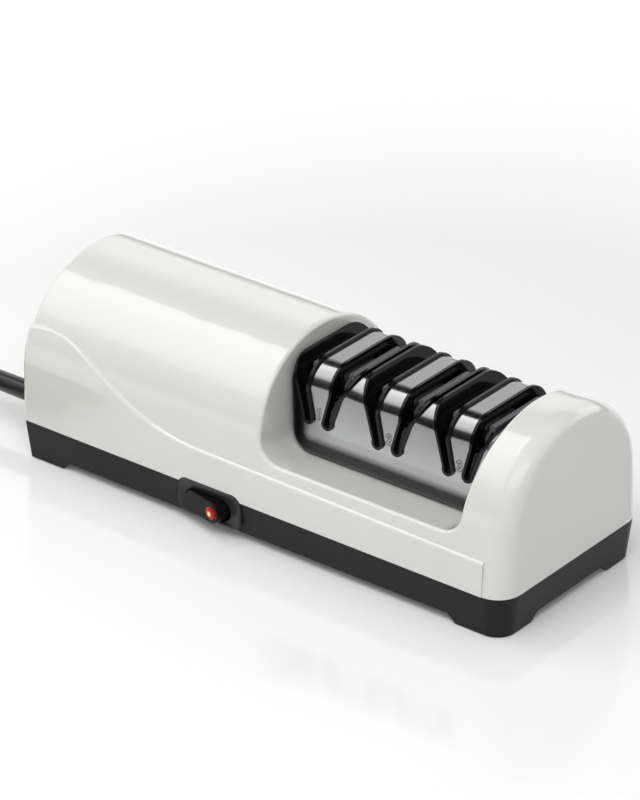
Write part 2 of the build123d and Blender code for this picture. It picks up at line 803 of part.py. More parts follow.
# ---------------------------------------------------------------- sharpening discs
spindle_axis = Axis((0, 0, spindle_z), (1, 0, 0))
for stage, x in zip(stage_names, stage_x):
    for side, hand in ((-1, "left"), (1, "right")):
        profile = [
            (disc_inner, bush_bore),
            (disc_inner, pocket_r[0]),
            (disc_inner + pocket_depth, pocket_r[0]),
            (disc_inner + pocket_depth, pocket_r[1]),
            (disc_inner, pocket_r[1]),
            (disc_inner, disc_r),
            (disc_rim, disc_r),
            (hub_face, hub_r),
            (hub_face, collar_r),
            (collar_face, collar_r),
            (collar_face, bush_bore),
        ]
        with BuildPart() as disc:
            with BuildSketch(Plane.XZ):
                with BuildLine():
                    Polyline(*[(x + side * px, spindle_z + pr) for px, pr in profile], close=True)
                make_face()
            revolve(axis=spindle_axis)
            groove_x = sorted((x + side * (disc_inner - 1), x + side * (disc_inner + drive_slot_depth)))
            add(
                block(
                    groove_x,
                    (-drive_pin_r - 0.1, drive_pin_r + 0.1),
                    (spindle_z - pocket_r[0] - 0.3, spindle_z + pocket_r[0] + 0.3),
                ),
                mode=Mode.SUBTRACT,
            )
        save(disc.part, f"disc_{stage}_{hand}")
    with BuildPart() as disc_spring:
        pitch = spring_high / spring_turns
        with BuildLine() as coil_line:
            Helix(pitch, spring_high, spring_r, center=(x - spring_high / 2, 0, spindle_z), direction=(1, 0, 0))
        with BuildSketch(Plane(coil_line.line @ 0, z_dir=coil_line.line % 0)):
            Circle(spring_wire_r)
        sweep()
    save(disc_spring.part, f"disc_spring_{stage}")

# ---------------------------------------------------------------- spindle
ring_starts = [x + ring_offset for x in stage_x] + [x - ring_offset - ring_thick for x in stage_x]

with BuildPart() as drive_shaft:
    add(rod_x(shaft_x[0], shaft_x[1], shaft_r))
    for x in ring_starts:
        groove = rod_x(x - seat, x + ring_thick + seat, shaft_r + 1)
        add(groove - rod_x(x - 1, x + ring_thick + 1, shaft_r - ring_groove), mode=Mode.SUBTRACT)
    with BuildSketch(Plane.XY.offset(spindle_z - shaft_r - 1)):
        with Locations(*[(x, 0) for x in stage_x]):
            Circle(drive_pin_r + seat)
    extrude(amount=2 * shaft_r + 2, mode=Mode.SUBTRACT)
    chamfer(drive_shaft.faces().sort_by(Axis.X)[0].edges(), 0.6)
    chamfer(drive_shaft.faces().sort_by(Axis.X)[-1].edges(), 0.6)
save(drive_shaft.part, "drive_shaft")

with BuildPart() as retaining_rings:
    for x in ring_starts:
        add(rod_x(x, x + ring_thick, ring_r))
        add(rod_x(x - 1, x + ring_thick + 1, shaft_r - ring_groove + seat), mode=Mode.SUBTRACT)
save(retaining_rings.part, "retaining_rings")

with BuildPart() as drive_pins:
    with BuildSketch(Plane.XY.offset(spindle_z - drive_pin_half)):
        with Locations(*[(x, 0) for x in stage_x]):
            Circle(drive_pin_r)
    extrude(amount=2 * drive_pin_half)
save(drive_pins.part, "drive_pins")

with BuildPart() as rotor_core:
    add(rod_x(stator_x - rotor_long / 2, stator_x + rotor_long / 2, rotor_r))
    add(rod_x(stator_x - rotor_long, stator_x + rotor_long, shaft_r + seat), mode=Mode.SUBTRACT)
save(rotor_core.part, "rotor_core")

with BuildPart() as cooling_fan:
    add(rod_x(fan_x[0], fan_x[1], fan_hub_r))
    add(rod_x(fan_x[1] - fan_plate, fan_x[1], fan_r))
    with BuildSketch(Plane.YZ.offset(fan_x[0] + 0.5)):
        with Locations((0, spindle_z)):
            with PolarLocations((fan_r + fan_hub_r - 1) / 2, fan_blades):
                Rectangle(fan_r - fan_hub_r + 1, 1.4)
    extrude(amount=fan_x[1] - fan_x[0] - 1)
    add(rod_x(fan_x[0] - 1, fan_x[1] + 1, shaft_r + seat), mode=Mode.SUBTRACT)
save(cooling_fan.part, "cooling_fan")

# ---------------------------------------------------------------- motor
stator_ends = (stator_x - stator_thick / 2, stator_x + stator_thick / 2)
tie_points = [(sy * tie_corner, spindle_z + sz * tie_corner) for sy in (-1, 1) for sz in (-1, 1)]


def coil_sectors(x_from, x_to, grow):
    """Upper and lower ring sectors of the field winding along X, widened by grow."""
    inner, outer = coil_r[0] - grow, coil_r[1] + grow
    half_sweep = coil_sweep / 2 + degrees(grow / coil_r[0])
    with BuildPart() as sectors:
        for middle in (90, 270):
            with BuildSketch(Plane.YZ.offset(x_from)):
                with BuildLine():
                    far = CenterArc((0, spindle_z), outer, middle - half_sweep, 2 * half_sweep)
                    near = CenterArc((0, spindle_z), inner, middle - half_sweep, 2 * half_sweep)
                    Line(far @ 0, near @ 0)
                    Line(far @ 1, near @ 1)
                make_face()
            extrude(amount=x_to - x_from)
    return sectors.part


with BuildPart() as stator_stack:
    with BuildSketch(Plane.YZ.offset(stator_ends[0])):
        with Locations((0, spindle_z)):
            RectangleRounded(2 * stator_half, 2 * stator_half, stator_corner)
            Circle(rotor_r + rotor_gap, mode=Mode.SUBTRACT)
        with Locations(*tie_points):
            Circle(screw_r + seat, mode=Mode.SUBTRACT)
    extrude(amount=stator_thick)
    add(coil_sectors(stator_ends[0] - 1, stator_ends[1] + 1, coil_clear), mode=Mode.SUBTRACT)
save(stator_stack.part, "stator_stack")

with BuildPart() as field_coils:
    add(coil_sectors(stator_ends[0] - coil_overhang, stator_ends[1] + coil_overhang, 0))
save(field_coils.part, "field_coils")

for side, place in ((1, "front"), (-1, "rear")):
    inner_x = stator_x + side * bracket_off
    outer_x = inner_x + side * bracket_thick
    bush_x = sorted((outer_x, outer_x + side * bush_long))
    with BuildPart() as motor_bracket:
        with BuildSketch(Plane.YZ.offset(min(inner_x, outer_x))):
            with Locations((0, spindle_z)):
                RectangleRounded(2 * stator_half, 2 * stator_half, stator_corner)
            with Locations((0, (floor_top + spindle_z) / 2)):
                Rectangle(2 * bracket_foot_y, spindle_z - floor_top)
            with Locations((0, spindle_z)):
                with PolarLocations(18.0, 4, start_angle=0):
                    Circle(5.5, mode=Mode.SUBTRACT)
            with Locations(*tie_points):
                Circle(screw_r + seat, mode=Mode.SUBTRACT)
        extrude(amount=bracket_thick)
        flange_x = sorted((inner_x, outer_x + side * bracket_flange))
        add(block(flange_x, (-bracket_foot_y, bracket_foot_y), (floor_top, floor_top + bracket_thick)))
        add(rod_x(bush_x[0] - 1, bush_x[1] + 1, bearing_r) & rod_x(bush_x[0], bush_x[1], bearing_r))
        add(rod_x(fan_x[1], 2 * stator_x - fan_x[1], bush_r + seat), mode=Mode.SUBTRACT)
        with BuildSketch(Plane.XY.offset(floor_top - 1)):
            with Locations(*[point for point in flange_points if side * (point[0] - stator_x) > 0]):
                Circle(screw_r + seat)
        extrude(amount=bracket_thick + 2, mode=Mode.SUBTRACT)
    save(motor_bracket.part, f"motor_bracket_{place}")
    with BuildPart() as bush:
        add(rod_x(min(inner_x, bush_x[0]), max(inner_x, bush_x[1]), bush_r))
        add(rod_x(fan_x[1], 2 * stator_x - fan_x[1], bush_bore), mode=Mode.SUBTRACT)
    save(bush.part, f"bush_{place}")

with BuildPart() as bush_end:
    add(rod_x(end_bush_x[0], end_bush_x[1], bush_r))
    add(rod_x(end_bush_x[0] - 1, end_bush_x[1] + 1, bush_bore), mode=Mode.SUBTRACT)
save(bush_end.part, "bush_end")

with BuildPart() as motor_screws:
    tie_head_x = stator_x + bracket_off + bracket_thick
    for y, z in tie_points:
        add(rod_x(stator_x - bracket_off - bracket_thick - 1, tie_head_x, screw_r, y, z))
        add(rod_x(tie_head_x, tie_head_x + screw_head, screw_head_r, y, z))
    for x, y in flange_points:
        with Locations((x, y, floor_top + bracket_thick)):
            Cylinder(screw_r, floor_thick + bracket_thick - 0.5, align=(Align.CENTER, Align.CENTER, Align.MAX))
            Cylinder(screw_head_r, screw_head, align=(Align.CENTER, Align.CENTER, Align.MIN))
save(motor_screws.part, "motor_screws")

# ---------------------------------------------------------------- switch
well_middle = (sum(well_x) / 2, sum(well_z) / 2)
well_long = well_x[1] - well_x[0]
well_high = well_z[1] - well_z[0]
pivot_y = -(bezel_front - pivot_behind)

with BuildPart() as bezel_funnel:
    wide = bezel_outline(-bezel_edge - bezel_rim, -bezel_front)
    with BuildSketch(Plane.XZ.offset(bezel_front - bezel_dish)) as narrow:
        with Locations(well_middle):
            RectangleRounded(well_long + 0.1, well_high + 0.1, well_high / 2)
    loft([narrow.sketch, wide])

with BuildPart() as switch_bezel:
    extrude(bezel_outline(0, -bezel_cut_y), amount=bezel_thick)
    chamfer(switch_bezel.faces().sort_by(Axis.Y)[0].edges(), bezel_edge)
    with BuildSketch(Plane.XZ.offset(bezel_front - well_depth)):
        with Locations(well_middle):
            RectangleRounded(well_long + 2 * well_wall, well_high + 2 * well_wall, 3)
    extrude(amount=well_depth - bezel_thick)
    with BuildSketch(Plane.XZ.offset(bezel_front - well_depth - 1)):
        with Locations(well_middle):
            SlotOverall(well_long, well_high)
    extrude(amount=well_depth + 2, mode=Mode.SUBTRACT)
    with Locations((well_middle[0], pivot_y, well_middle[1])):
        Cylinder(trunnion_r + running, well_high + 2 * trunnion_long + 0.2, mode=Mode.SUBTRACT)
    add(bezel_funnel.part, mode=Mode.SUBTRACT)
save(switch_bezel.part, "switch_bezel")

rocker_high = well_high - 2 * rocker_gap
rocker_face = (pivot_behind + rocker_half * sin(radians(rocker_tilt))) / cos(radians(rocker_tilt))
rocker_place = Location((well_middle[0], pivot_y, well_middle[1]), (0, 0, -rocker_tilt))

with BuildPart() as rocker_form:
    with BuildSketch(Plane.XY.offset(-rocker_high / 2)):
        with BuildLine():
            Polyline(
                (-rocker_half, -rocker_face),
                (rocker_half, -rocker_face),
                (rocker_half, 2.0),
                (rocker_back_half, rocker_deep - pivot_behind),
                (-rocker_back_half, rocker_deep - pivot_behind),
                (-rocker_half, 2.0),
                close=True,
            )
        make_face()
    extrude(amount=rocker_high)
    with BuildSketch(Plane.XZ.offset(-rocker_deep)):
        SlotOverall(2 * rocker_half, rocker_high)
    extrude(amount=2 * rocker_deep + rocker_face, mode=Mode.INTERSECT)
    chamfer(rocker_form.faces().sort_by(Axis.Y)[0].edges(), 0.5)
    Cylinder(trunnion_r, rocker_high + 2 * rocker_gap + 2 * trunnion_long)
    with BuildSketch(Plane.XZ.offset(rocker_face)):
        with Locations((lens_offset, 0)):
            Circle(lens_r + seat)
    extrude(amount=-lens_deep, mode=Mode.SUBTRACT)

with BuildPart() as switch_rocker:
    add(rocker_form.part.moved(rocker_place))
save(switch_rocker.part, "switch_rocker")

with BuildPart() as lens_form:
    with BuildSketch(Plane.XZ.offset(rocker_face - lens_deep)):
        with Locations((lens_offset, 0)):
            Circle(lens_r)
    extrude(amount=lens_deep + lens_proud)
    fillet(lens_form.faces().sort_by(Axis.Y)[0].edges(), lens_proud * 0.9)

with BuildPart() as switch_lens:
    add(lens_form.part.moved(rocker_place))
save(switch_lens.part, "switch_lens")

switch_back = -(bezel_front - well_depth)
with BuildPart() as switch_body:
    add(block(tube_x, (switch_back, switch_back + switch_deep), tube_z))
    fillet(switch_body.edges().filter_by(Axis.Y), 2)
save(switch_body.part, "switch_body")

with BuildPart() as switch_terminals:
    with Locations(*[(well_middle[0] + k * 7.5, 0, well_middle[1]) for k in (-1, 0, 1)]):
        with Locations((0, switch_back + switch_deep + terminal[2] / 2, 0)):
            Box(terminal[0], terminal[2], terminal[1])
save(switch_terminals.part, "switch_terminals")

# ---------------------------------------------------------------- mains lead
ring_x, ring_y = ring_centre
lead_points = [
    (x_left + lead_inset, lead_y, parting_z),
    (x_left - lead_reach[0], lead_y, parting_z),
    (x_left - lead_reach[1], lead_y, cord_floor),
    (ring_x, lead_y, cord_floor),
]
tail_end = (ring_x + tail_run[1], ring_y - ring_turn_r - tail_side)
tail_points = [
    (ring_x, ring_y - ring_turn_r, cord_floor),
    (ring_x + tail_run[0], ring_y - ring_turn_r, cord_floor),
    (tail_end[0], tail_end[1], plug_size[2] / 2),
]


def tube(points, bend_r):
    """Round lead along straight runs joined by tangent arcs."""
    with BuildPart() as run:
        with BuildLine() as line:
            FilletPolyline(*points, radius=bend_r)
        with BuildSketch(Plane(line.wire() @ 0, z_dir=line.wire() % 0)):
            Circle(cord_r)
        sweep()
    whole = line.wire().length
    print(f"lead {whole:.1f} mm, bend radius {bend_r}")
    print(f"volume {run.part.volume:.0f} of {whole * pi * cord_r**2:.0f}")
    return run.part


with BuildPart() as cord_coil:
    with BuildSketch(Plane.XZ.offset(-ring_y)):
        with Locations((ring_x + ring_turn_r, ring_bundle_r)):
            Circle(ring_bundle_r)
    revolve(axis=Axis((ring_x, ring_y, 0), (0, 0, 1)))
save(cord_coil.part, "cord_coil")

with BuildPart() as power_cord_lead:
    add(tube(lead_points, cord_bend_r))
    add(cord_coil.part, mode=Mode.SUBTRACT)
save(power_cord_lead.part, "power_cord_lead")

with BuildPart() as power_cord_tail:
    add(tube(tail_points, tail_bend_r))
    add(cord_coil.part, mode=Mode.SUBTRACT)
save(power_cord_tail.part, "power_cord_tail")

with BuildPart() as tie_room:
    with BuildSketch(Plane.XZ.offset(-ring_y)):
        with Locations((ring_x + ring_turn_r, ring_bundle_r)):
            Circle(ring_bundle_r + seat)
    revolve(axis=Axis((ring_x, ring_y, 0), (0, 0, 1)))

with BuildPart() as cord_tie:
    with BuildSketch(Plane.XZ.offset(-ring_y - tie_wide / 2)):
        with Locations((ring_x - ring_turn_r, ring_bundle_r)):
            Circle(ring_bundle_r + tie_wrap)
    extrude(amount=tie_wide)
    add(tie_room.part, mode=Mode.SUBTRACT)
    add(
        block(
            (ring_x - 2 * ring_turn_r, ring_x),
            (ring_y - tie_wide, ring_y + tie_wide),
            (-2 * tie_wrap, tie_wrap),
        ),
        mode=Mode.SUBTRACT,
    )
save(cord_tie.part, "cord_tie")

with BuildPart() as strain_relief:
    boot_end = x_left - boot_long
    inner_x = x_left + wall + boot_flange_gap
    steps = [
        (inner_x + boot_flange, boot_flange_r),
        (inner_x, boot_flange_r),
        (inner_x, boot_neck_r),
        (x_left, boot_neck_r),
        (x_left, boot_r[0]),
        (boot_end, boot_r[1]),
    ]
    with BuildSketch(Plane.XZ.offset(-lead_y)):
        with BuildLine():
            outline = [(x, parting_z + r) for x, r in steps]
            outline += [(boot_end, parting_z + cord_r + seat), (steps[0][0], parting_z + cord_r + seat)]
            Polyline(*outline, close=True)
        make_face()
    revolve(axis=Axis((0, lead_y, parting_z), (1, 0, 0)))
    for k in range(boot_grooves):
        groove_x = boot_end + (k + 0.75) * boot_groove_pitch
        groove_r = boot_r[1] + (groove_x - boot_end) / boot_long * (boot_r[0] - boot_r[1]) - boot_groove[1]
        outer = rod_x(groove_x, groove_x + boot_groove[0], boot_flange_r, lead_y, parting_z)
        inner = rod_x(groove_x - 1, groove_x + 3, groove_r, lead_y, parting_z)
        add(outer - inner, mode=Mode.SUBTRACT)
save(strain_relief.part, "strain_relief")

with BuildPart() as cord_clamp:
    add(
        block(
            (clamp_x - clamp_size[0] / 2, clamp_x + clamp_size[0] / 2),
            (lead_y - clamp_size[1] / 2, lead_y + clamp_size[1] / 2),
            (parting_z - clamp_size[2] / 2, parting_z + clamp_size[2] / 2),
        )
    )
    add(rod_x(clamp_x - 10, clamp_x + 10, cord_r + seat, lead_y, parting_z), mode=Mode.SUBTRACT)
    with BuildSketch(Plane.XY):
        with Locations(*clamp_points):
            Circle(screw_r + seat)
    extrude(amount=2 * parting_z, mode=Mode.SUBTRACT)
save(cord_clamp.part, "cord_clamp")

with BuildPart() as clamp_screws:
    for x, y in clamp_points:
        with Locations((x, y, parting_z + clamp_size[2] / 2)):
            Cylinder(screw_r, clamp_size[2] + 4, align=(Align.CENTER, Align.CENTER, Align.MAX))
            Cylinder(screw_head_r, screw_head, align=(Align.CENTER, Align.CENTER, Align.MIN))
save(clamp_screws.part, "clamp_screws")

# ---------------------------------------------------------------- plug
plug_turn = degrees(atan2(tail_end[1] - tail_points[1][1], tail_end[0] - tail_points[1][0]))
plug_place = Location((tail_end[0], tail_end[1], plug_size[2] / 2), (0, 0, plug_turn))

with BuildPart() as plug_form:
    with BuildSketch(Plane.XY.offset(-plug_size[2] / 2)):
        with Locations((plug_nose + plug_size[0] / 2, 0)):
            RectangleRounded(plug_size[0], plug_size[1], plug_corner)
    extrude(amount=plug_size[2])
    fillet(plug_form.edges().filter_by(Axis.Z, reverse=True), 1.5)
    with BuildSketch(Plane.YZ):
        Circle(cord_r + 1.2)
    with BuildSketch(Plane.YZ.offset(plug_nose + 1)):
        Circle(plug_size[2] / 2 - 1)
    loft()

with BuildPart() as plug_body:
    add(plug_form.part.moved(plug_place))
    add(power_cord_tail.part, mode=Mode.SUBTRACT)
save(plug_body.part, "plug_body")

with BuildPart() as blade_form:
    for side in (-1, 1):
        with Locations((plug_nose + plug_size[0] + blade[0] / 2, side * blade_half_gap, 0)):
            Box(blade[0], blade[1], blade[2])

with BuildPart() as plug_blades:
    add(blade_form.part.moved(plug_place))
save(plug_blades.part, "plug_blades")
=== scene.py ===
"""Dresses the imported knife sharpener: finishes, lead, numerals, lens, springs and studio."""

import json
import logging
import math
from collections.abc import Sequence
from dataclasses import dataclass
from enum import StrEnum
from typing import ClassVar

import bmesh
import bpy
from mathutils import Matrix, Vector


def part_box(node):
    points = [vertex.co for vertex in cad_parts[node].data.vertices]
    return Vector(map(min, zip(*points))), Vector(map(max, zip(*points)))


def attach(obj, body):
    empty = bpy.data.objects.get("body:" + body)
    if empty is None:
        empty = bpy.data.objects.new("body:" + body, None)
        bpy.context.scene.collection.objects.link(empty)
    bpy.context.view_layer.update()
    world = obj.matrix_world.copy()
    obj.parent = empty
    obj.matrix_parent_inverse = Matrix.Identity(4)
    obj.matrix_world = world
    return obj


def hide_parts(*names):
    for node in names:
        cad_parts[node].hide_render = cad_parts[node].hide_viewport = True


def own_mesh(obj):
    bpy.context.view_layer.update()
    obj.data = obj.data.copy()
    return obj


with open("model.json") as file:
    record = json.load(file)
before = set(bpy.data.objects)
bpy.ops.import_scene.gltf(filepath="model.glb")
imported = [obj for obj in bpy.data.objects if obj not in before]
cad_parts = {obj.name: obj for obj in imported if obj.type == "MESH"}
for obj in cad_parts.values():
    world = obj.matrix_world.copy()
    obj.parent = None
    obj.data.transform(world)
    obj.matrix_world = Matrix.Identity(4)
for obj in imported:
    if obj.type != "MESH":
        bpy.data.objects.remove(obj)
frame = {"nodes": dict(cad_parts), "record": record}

log = logging.getLogger("sharpener")
Point = tuple[float, float, float]
Colour = tuple[float, float, float]
Span = tuple[float, float]

MM = 0.001
MM_PER_METRE = 1000
QUARTER_TURN = math.radians(90)
HALF_TURN = math.radians(180)
WHITE = (1.0, 1.0, 1.0, 1.0)
BLACK = (0.0, 0.0, 0.0, 1.0)
RISE: Span = (0.0, 1.0)
FALL: Span = (1.0, 0.0)
TINY = 1e-5  # millimetres; corners nearer than this are one


def metres(lengths: Sequence[float]) -> tuple[float, ...]:
    """Turns millimetres into metres."""
    return tuple(length * MM for length in lengths)


def shade(colour: Colour, share: float = 1.0) -> tuple[float, ...]:
    """Multiplies a colour by a share, up to white, and adds its opacity."""
    return tuple(min(1.0, channel * share) for channel in colour) + (1.0,)


# ---------------------------------------------------------------- helpers for node trees
class NodeBoard:
    """A node tree with short calls that add, set and link its nodes."""

    COLOUR_MIX = ("0", "6", "7")  # a Mix node's sockets for the share and the two colours
    MIXED_COLOUR = 2

    def __init__(self, tree: bpy.types.NodeTree) -> None:
        """Empties the tree.

        Args:
            tree: the material's, world's or group's tree.
        """
        self.tree = tree
        tree.nodes.clear()

    def feed(self, socket: bpy.types.NodeSocket, value: object) -> None:
        """Links an output socket to an input, or stores a plain value there.

        Args:
            socket: the input.
            value: the output socket or the plain value.
        """
        if isinstance(value, bpy.types.NodeSocket):
            self.tree.links.new(value, socket)
        else:
            socket.default_value = value

    def add(
        self, kind: str, inputs: dict[str, object] | None = None, **settings: object
    ) -> bpy.types.Node:
        """Adds a node.

        Args:
            kind: the node's type name.
            inputs: socket names or numbers with what feeds them.
            settings: attributes of the node itself.

        Returns:
            The node.
        """
        node = self.tree.nodes.new(kind)
        for key, value in settings.items():
            setattr(node, key, value)
        for key, value in (inputs or {}).items():
            self.feed(node.inputs[int(key) if key.isdigit() else key], value)
        return node

    def math(self, operation: str, a: object, b: object = 0.0) -> bpy.types.NodeSocket:
        """Adds a Math node and returns its output."""
        return self.add("ShaderNodeMath", {"0": a, "1": b}, operation=operation).outputs[0]

    def ramp(self, value: bpy.types.NodeSocket, span: Span, out: Span) -> bpy.types.NodeSocket:
        """Maps a value from one span to another, and clamps it there.

        Args:
            value: the value to map.
            span: its low and high end.
            out: what those two ends become.

        Returns:
            The mapped value.
        """
        ends = dict(zip(("From Min", "From Max", "To Min", "To Max"), (*span, *out)))
        return self.add("ShaderNodeMapRange", {"Value": value, **ends}, clamp=True).outputs[0]

    def mix(self, share: object, a: object, b: object) -> bpy.types.NodeSocket:
        """Mixes two colours and returns the mixed colour."""
        inputs = dict(zip(self.COLOUR_MIX, (share, a, b)))
        return self.add("ShaderNodeMix", inputs, data_type="RGBA").outputs[self.MIXED_COLOUR]


# ---------------------------------------------------------------- finishes
@dataclass(frozen=True)
class Finish:
    """A moulded, rubber or metal finish with a procedural grain, clouds and gloss variation."""

    GRAIN_LEVELS: ClassVar[Span] = (0.3, 0.7)  # levels of the noise that count as low and high
    CLOUD_LEVELS: ClassVar[Span] = (0.35, 0.65)
    GRAIN_NOISE: ClassVar[dict[str, object]] = {"Detail": 3.0, "Roughness": 0.6}
    CLOUD_NOISE: ClassVar[dict[str, object]] = {"Detail": 2.0}
    LEAST_ROUGHNESS: ClassVar[float] = 0.02

    name: str
    colour: Colour
    roughness: float
    metallic: float = 0.0
    specular: float = 0.5
    coat: float = 0.0
    coat_roughness: float = 0.08
    anisotropy: float = 0.0
    grain_size: float = 0.4  # millimetres
    grain_depth: float = 0.02  # millimetres
    grain_stretch: Point = (1.0, 1.0, 1.0)
    cloud_size: float = 30.0  # millimetres
    cloud: float = 0.03  # share by which the colour wanders
    gloss_spread: float = 0.05

    def material(self) -> bpy.types.Material:
        """Makes the material, once.

        Returns:
            The material of this finish.
        """
        found = bpy.data.materials.get(self.name)
        if found:
            return found
        made = bpy.data.materials.new(self.name)
        made.use_nodes = True
        made.diffuse_color = shade(self.colour)
        board = NodeBoard(made.node_tree)
        place = board.add("ShaderNodeTexCoord").outputs["Object"]
        stretch = {"Vector": place, "Scale": Vector(self.grain_stretch)}
        stretched = board.add("ShaderNodeMapping", stretch).outputs[0]
        fine = {"Vector": stretched, "Scale": MM_PER_METRE / self.grain_size, **self.GRAIN_NOISE}
        grain = board.add("ShaderNodeTexNoise", fine).outputs[0]
        wide = {"Vector": place, "Scale": MM_PER_METRE / self.cloud_size, **self.CLOUD_NOISE}
        cloud = board.add("ShaderNodeTexNoise", wide).outputs[0]
        dark, light = shade(self.colour, 1 - self.cloud), shade(self.colour, 1 + self.cloud)
        finest = max(self.LEAST_ROUGHNESS, self.roughness - self.gloss_spread)
        coarsest = min(1.0, self.roughness + self.gloss_spread)
        inputs: dict[str, object] = {
            "Base Color": board.mix(board.ramp(cloud, self.CLOUD_LEVELS, RISE), dark, light),
            "Roughness": board.ramp(grain, self.GRAIN_LEVELS, (finest, coarsest)),
            "Metallic": self.metallic,
            "Specular IOR Level": self.specular,
            "Coat Weight": self.coat,
            "Coat Roughness": self.coat_roughness,
            "Anisotropic": self.anisotropy,
        }
        if self.grain_depth:
            relief = {"Height": grain, "Distance": self.grain_depth * MM, "Strength": 1.0}
            inputs["Normal"] = board.add("ShaderNodeBump", relief).outputs[0]
        shader = board.add("ShaderNodeBsdfPrincipled", inputs)
        self.detail(board, shader, place)
        board.add("ShaderNodeOutputMaterial", {"Surface": shader.outputs[0]})
        return made

    def detail(
        self, board: NodeBoard, shader: bpy.types.Node, place: bpy.types.NodeSocket
    ) -> None:
        """Adds what only one kind of finish has. The plain finish adds nothing.

        Args:
            board: the material's nodes.
            shader: its principled shader.
            place: the coordinates of the pattern.
        """


@dataclass(frozen=True)
class BrushedHood(Finish):
    """Brushed sheet steel with painted dark reflections at its foot, its left edge, its brow and
    its deck.
    """

    # the fields below paint dark reflections over the steel's own tone: at the foot, the left
    # edge, the brow and the deck
    foot_z: float = 41.0
    left_x: float = 0.8
    corner: float = 12.0  # radius of the front panel's lower left corner
    rim_fade: Span = (7.5, 11.5)  # millimetres in from the foot and the left edge
    edge_fade: Span = (5.8, 13.8)  # x, from the left edge's shade to the foot's
    edge_painted_dark: float = 0.015
    foot_painted_dark: float = 0.12
    deck_fade: Span = (84.6, 85.4)  # height
    deck_painted_dark_share: float = 0.56
    brow_fade: Span = (56.0, 72.0)  # height
    brow_painted_dark_share: float = 0.3

    def detail(
        self, board: NodeBoard, shader: bpy.types.Node, place: bpy.types.NodeSocket
    ) -> None:
        """Paints dark reflections on the front by its distance to the left edge and the foot, and
        by its height.

        Args:
            board: the material's nodes.
            shader: its principled shader.
            place: the coordinates of the pattern.
        """
        parts = board.add("ShaderNodeSeparateXYZ", {"Vector": place})
        x, z = parts.outputs["X"], parts.outputs["Z"]
        centre_x, centre_z = metres((self.left_x + self.corner, self.foot_z + self.corner))
        over = board.math("MAXIMUM", board.math("SUBTRACT", centre_x, x), 0.0)
        under = board.math("MAXIMUM", board.math("SUBTRACT", centre_z, z), 0.0)
        over, under = board.math("MULTIPLY", over, over), board.math("MULTIPLY", under, under)
        out = board.math("SQRT", board.math("ADD", over, under))
        inner = board.math("SUBTRACT", self.corner * MM, out)
        rim = board.ramp(inner, metres(self.rim_fade), FALL)
        left = board.ramp(x, metres(self.edge_fade), RISE)
        # painted dark reflection: near black at the left edge, dark grey along the foot
        edge, foot = shade(self.colour, self.edge_painted_dark), shade(self.colour, self.foot_painted_dark)
        brow = board.ramp(z, metres(self.brow_fade), RISE)
        deck = board.ramp(z, metres(self.deck_fade), RISE)
        panel_tone = shader.inputs["Base Color"].links[0].from_socket
        # painted dark reflection: the front grows darker towards its top
        panel_tone = board.mix(board.math("MULTIPLY", brow, self.brow_painted_dark_share), panel_tone, BLACK)
        # painted dark reflection: the flat deck on top is darker than the front
        panel_tone = board.mix(deck, panel_tone, shade(self.colour, self.deck_painted_dark_share))
        steel = board.mix(rim, panel_tone, board.mix(left, edge, foot))
        board.feed(shader.inputs["Base Color"], steel)


@dataclass(frozen=True)
class LitLens(Finish):
    """Clear red plastic with a lamp behind its middle."""

    lamp: Point = (-21.95, -57.9, 12.6)
    hot: Colour = (1.0, 0.75, 0.25)
    deep: Colour = (0.6, 0.012, 0.006)
    hot_fade: Span = (0.55, 1.32)  # millimetres from the lamp
    glow_fade: Span = (0.55, 2.0)
    glow: Span = (1.3, 0.12)  # brightness at the lamp and away from it

    def detail(
        self, board: NodeBoard, shader: bpy.types.Node, place: bpy.types.NodeSocket
    ) -> None:
        """Lets the middle glow.

        Args:
            board: the material's nodes.
            shader: its principled shader.
            place: the coordinates of the pattern.
        """
        ends = {"0": place, "1": metres(self.lamp)}
        away = board.add("ShaderNodeVectorMath", ends, operation="DISTANCE").outputs["Value"]
        hot = board.ramp(away, metres(self.hot_fade), FALL)
        colour = board.mix(hot, shade(self.deep), shade(self.hot))
        board.feed(shader.inputs["Emission Color"], colour)
        strength = board.ramp(away, metres(self.glow_fade), self.glow)
        board.feed(shader.inputs["Emission Strength"], strength)


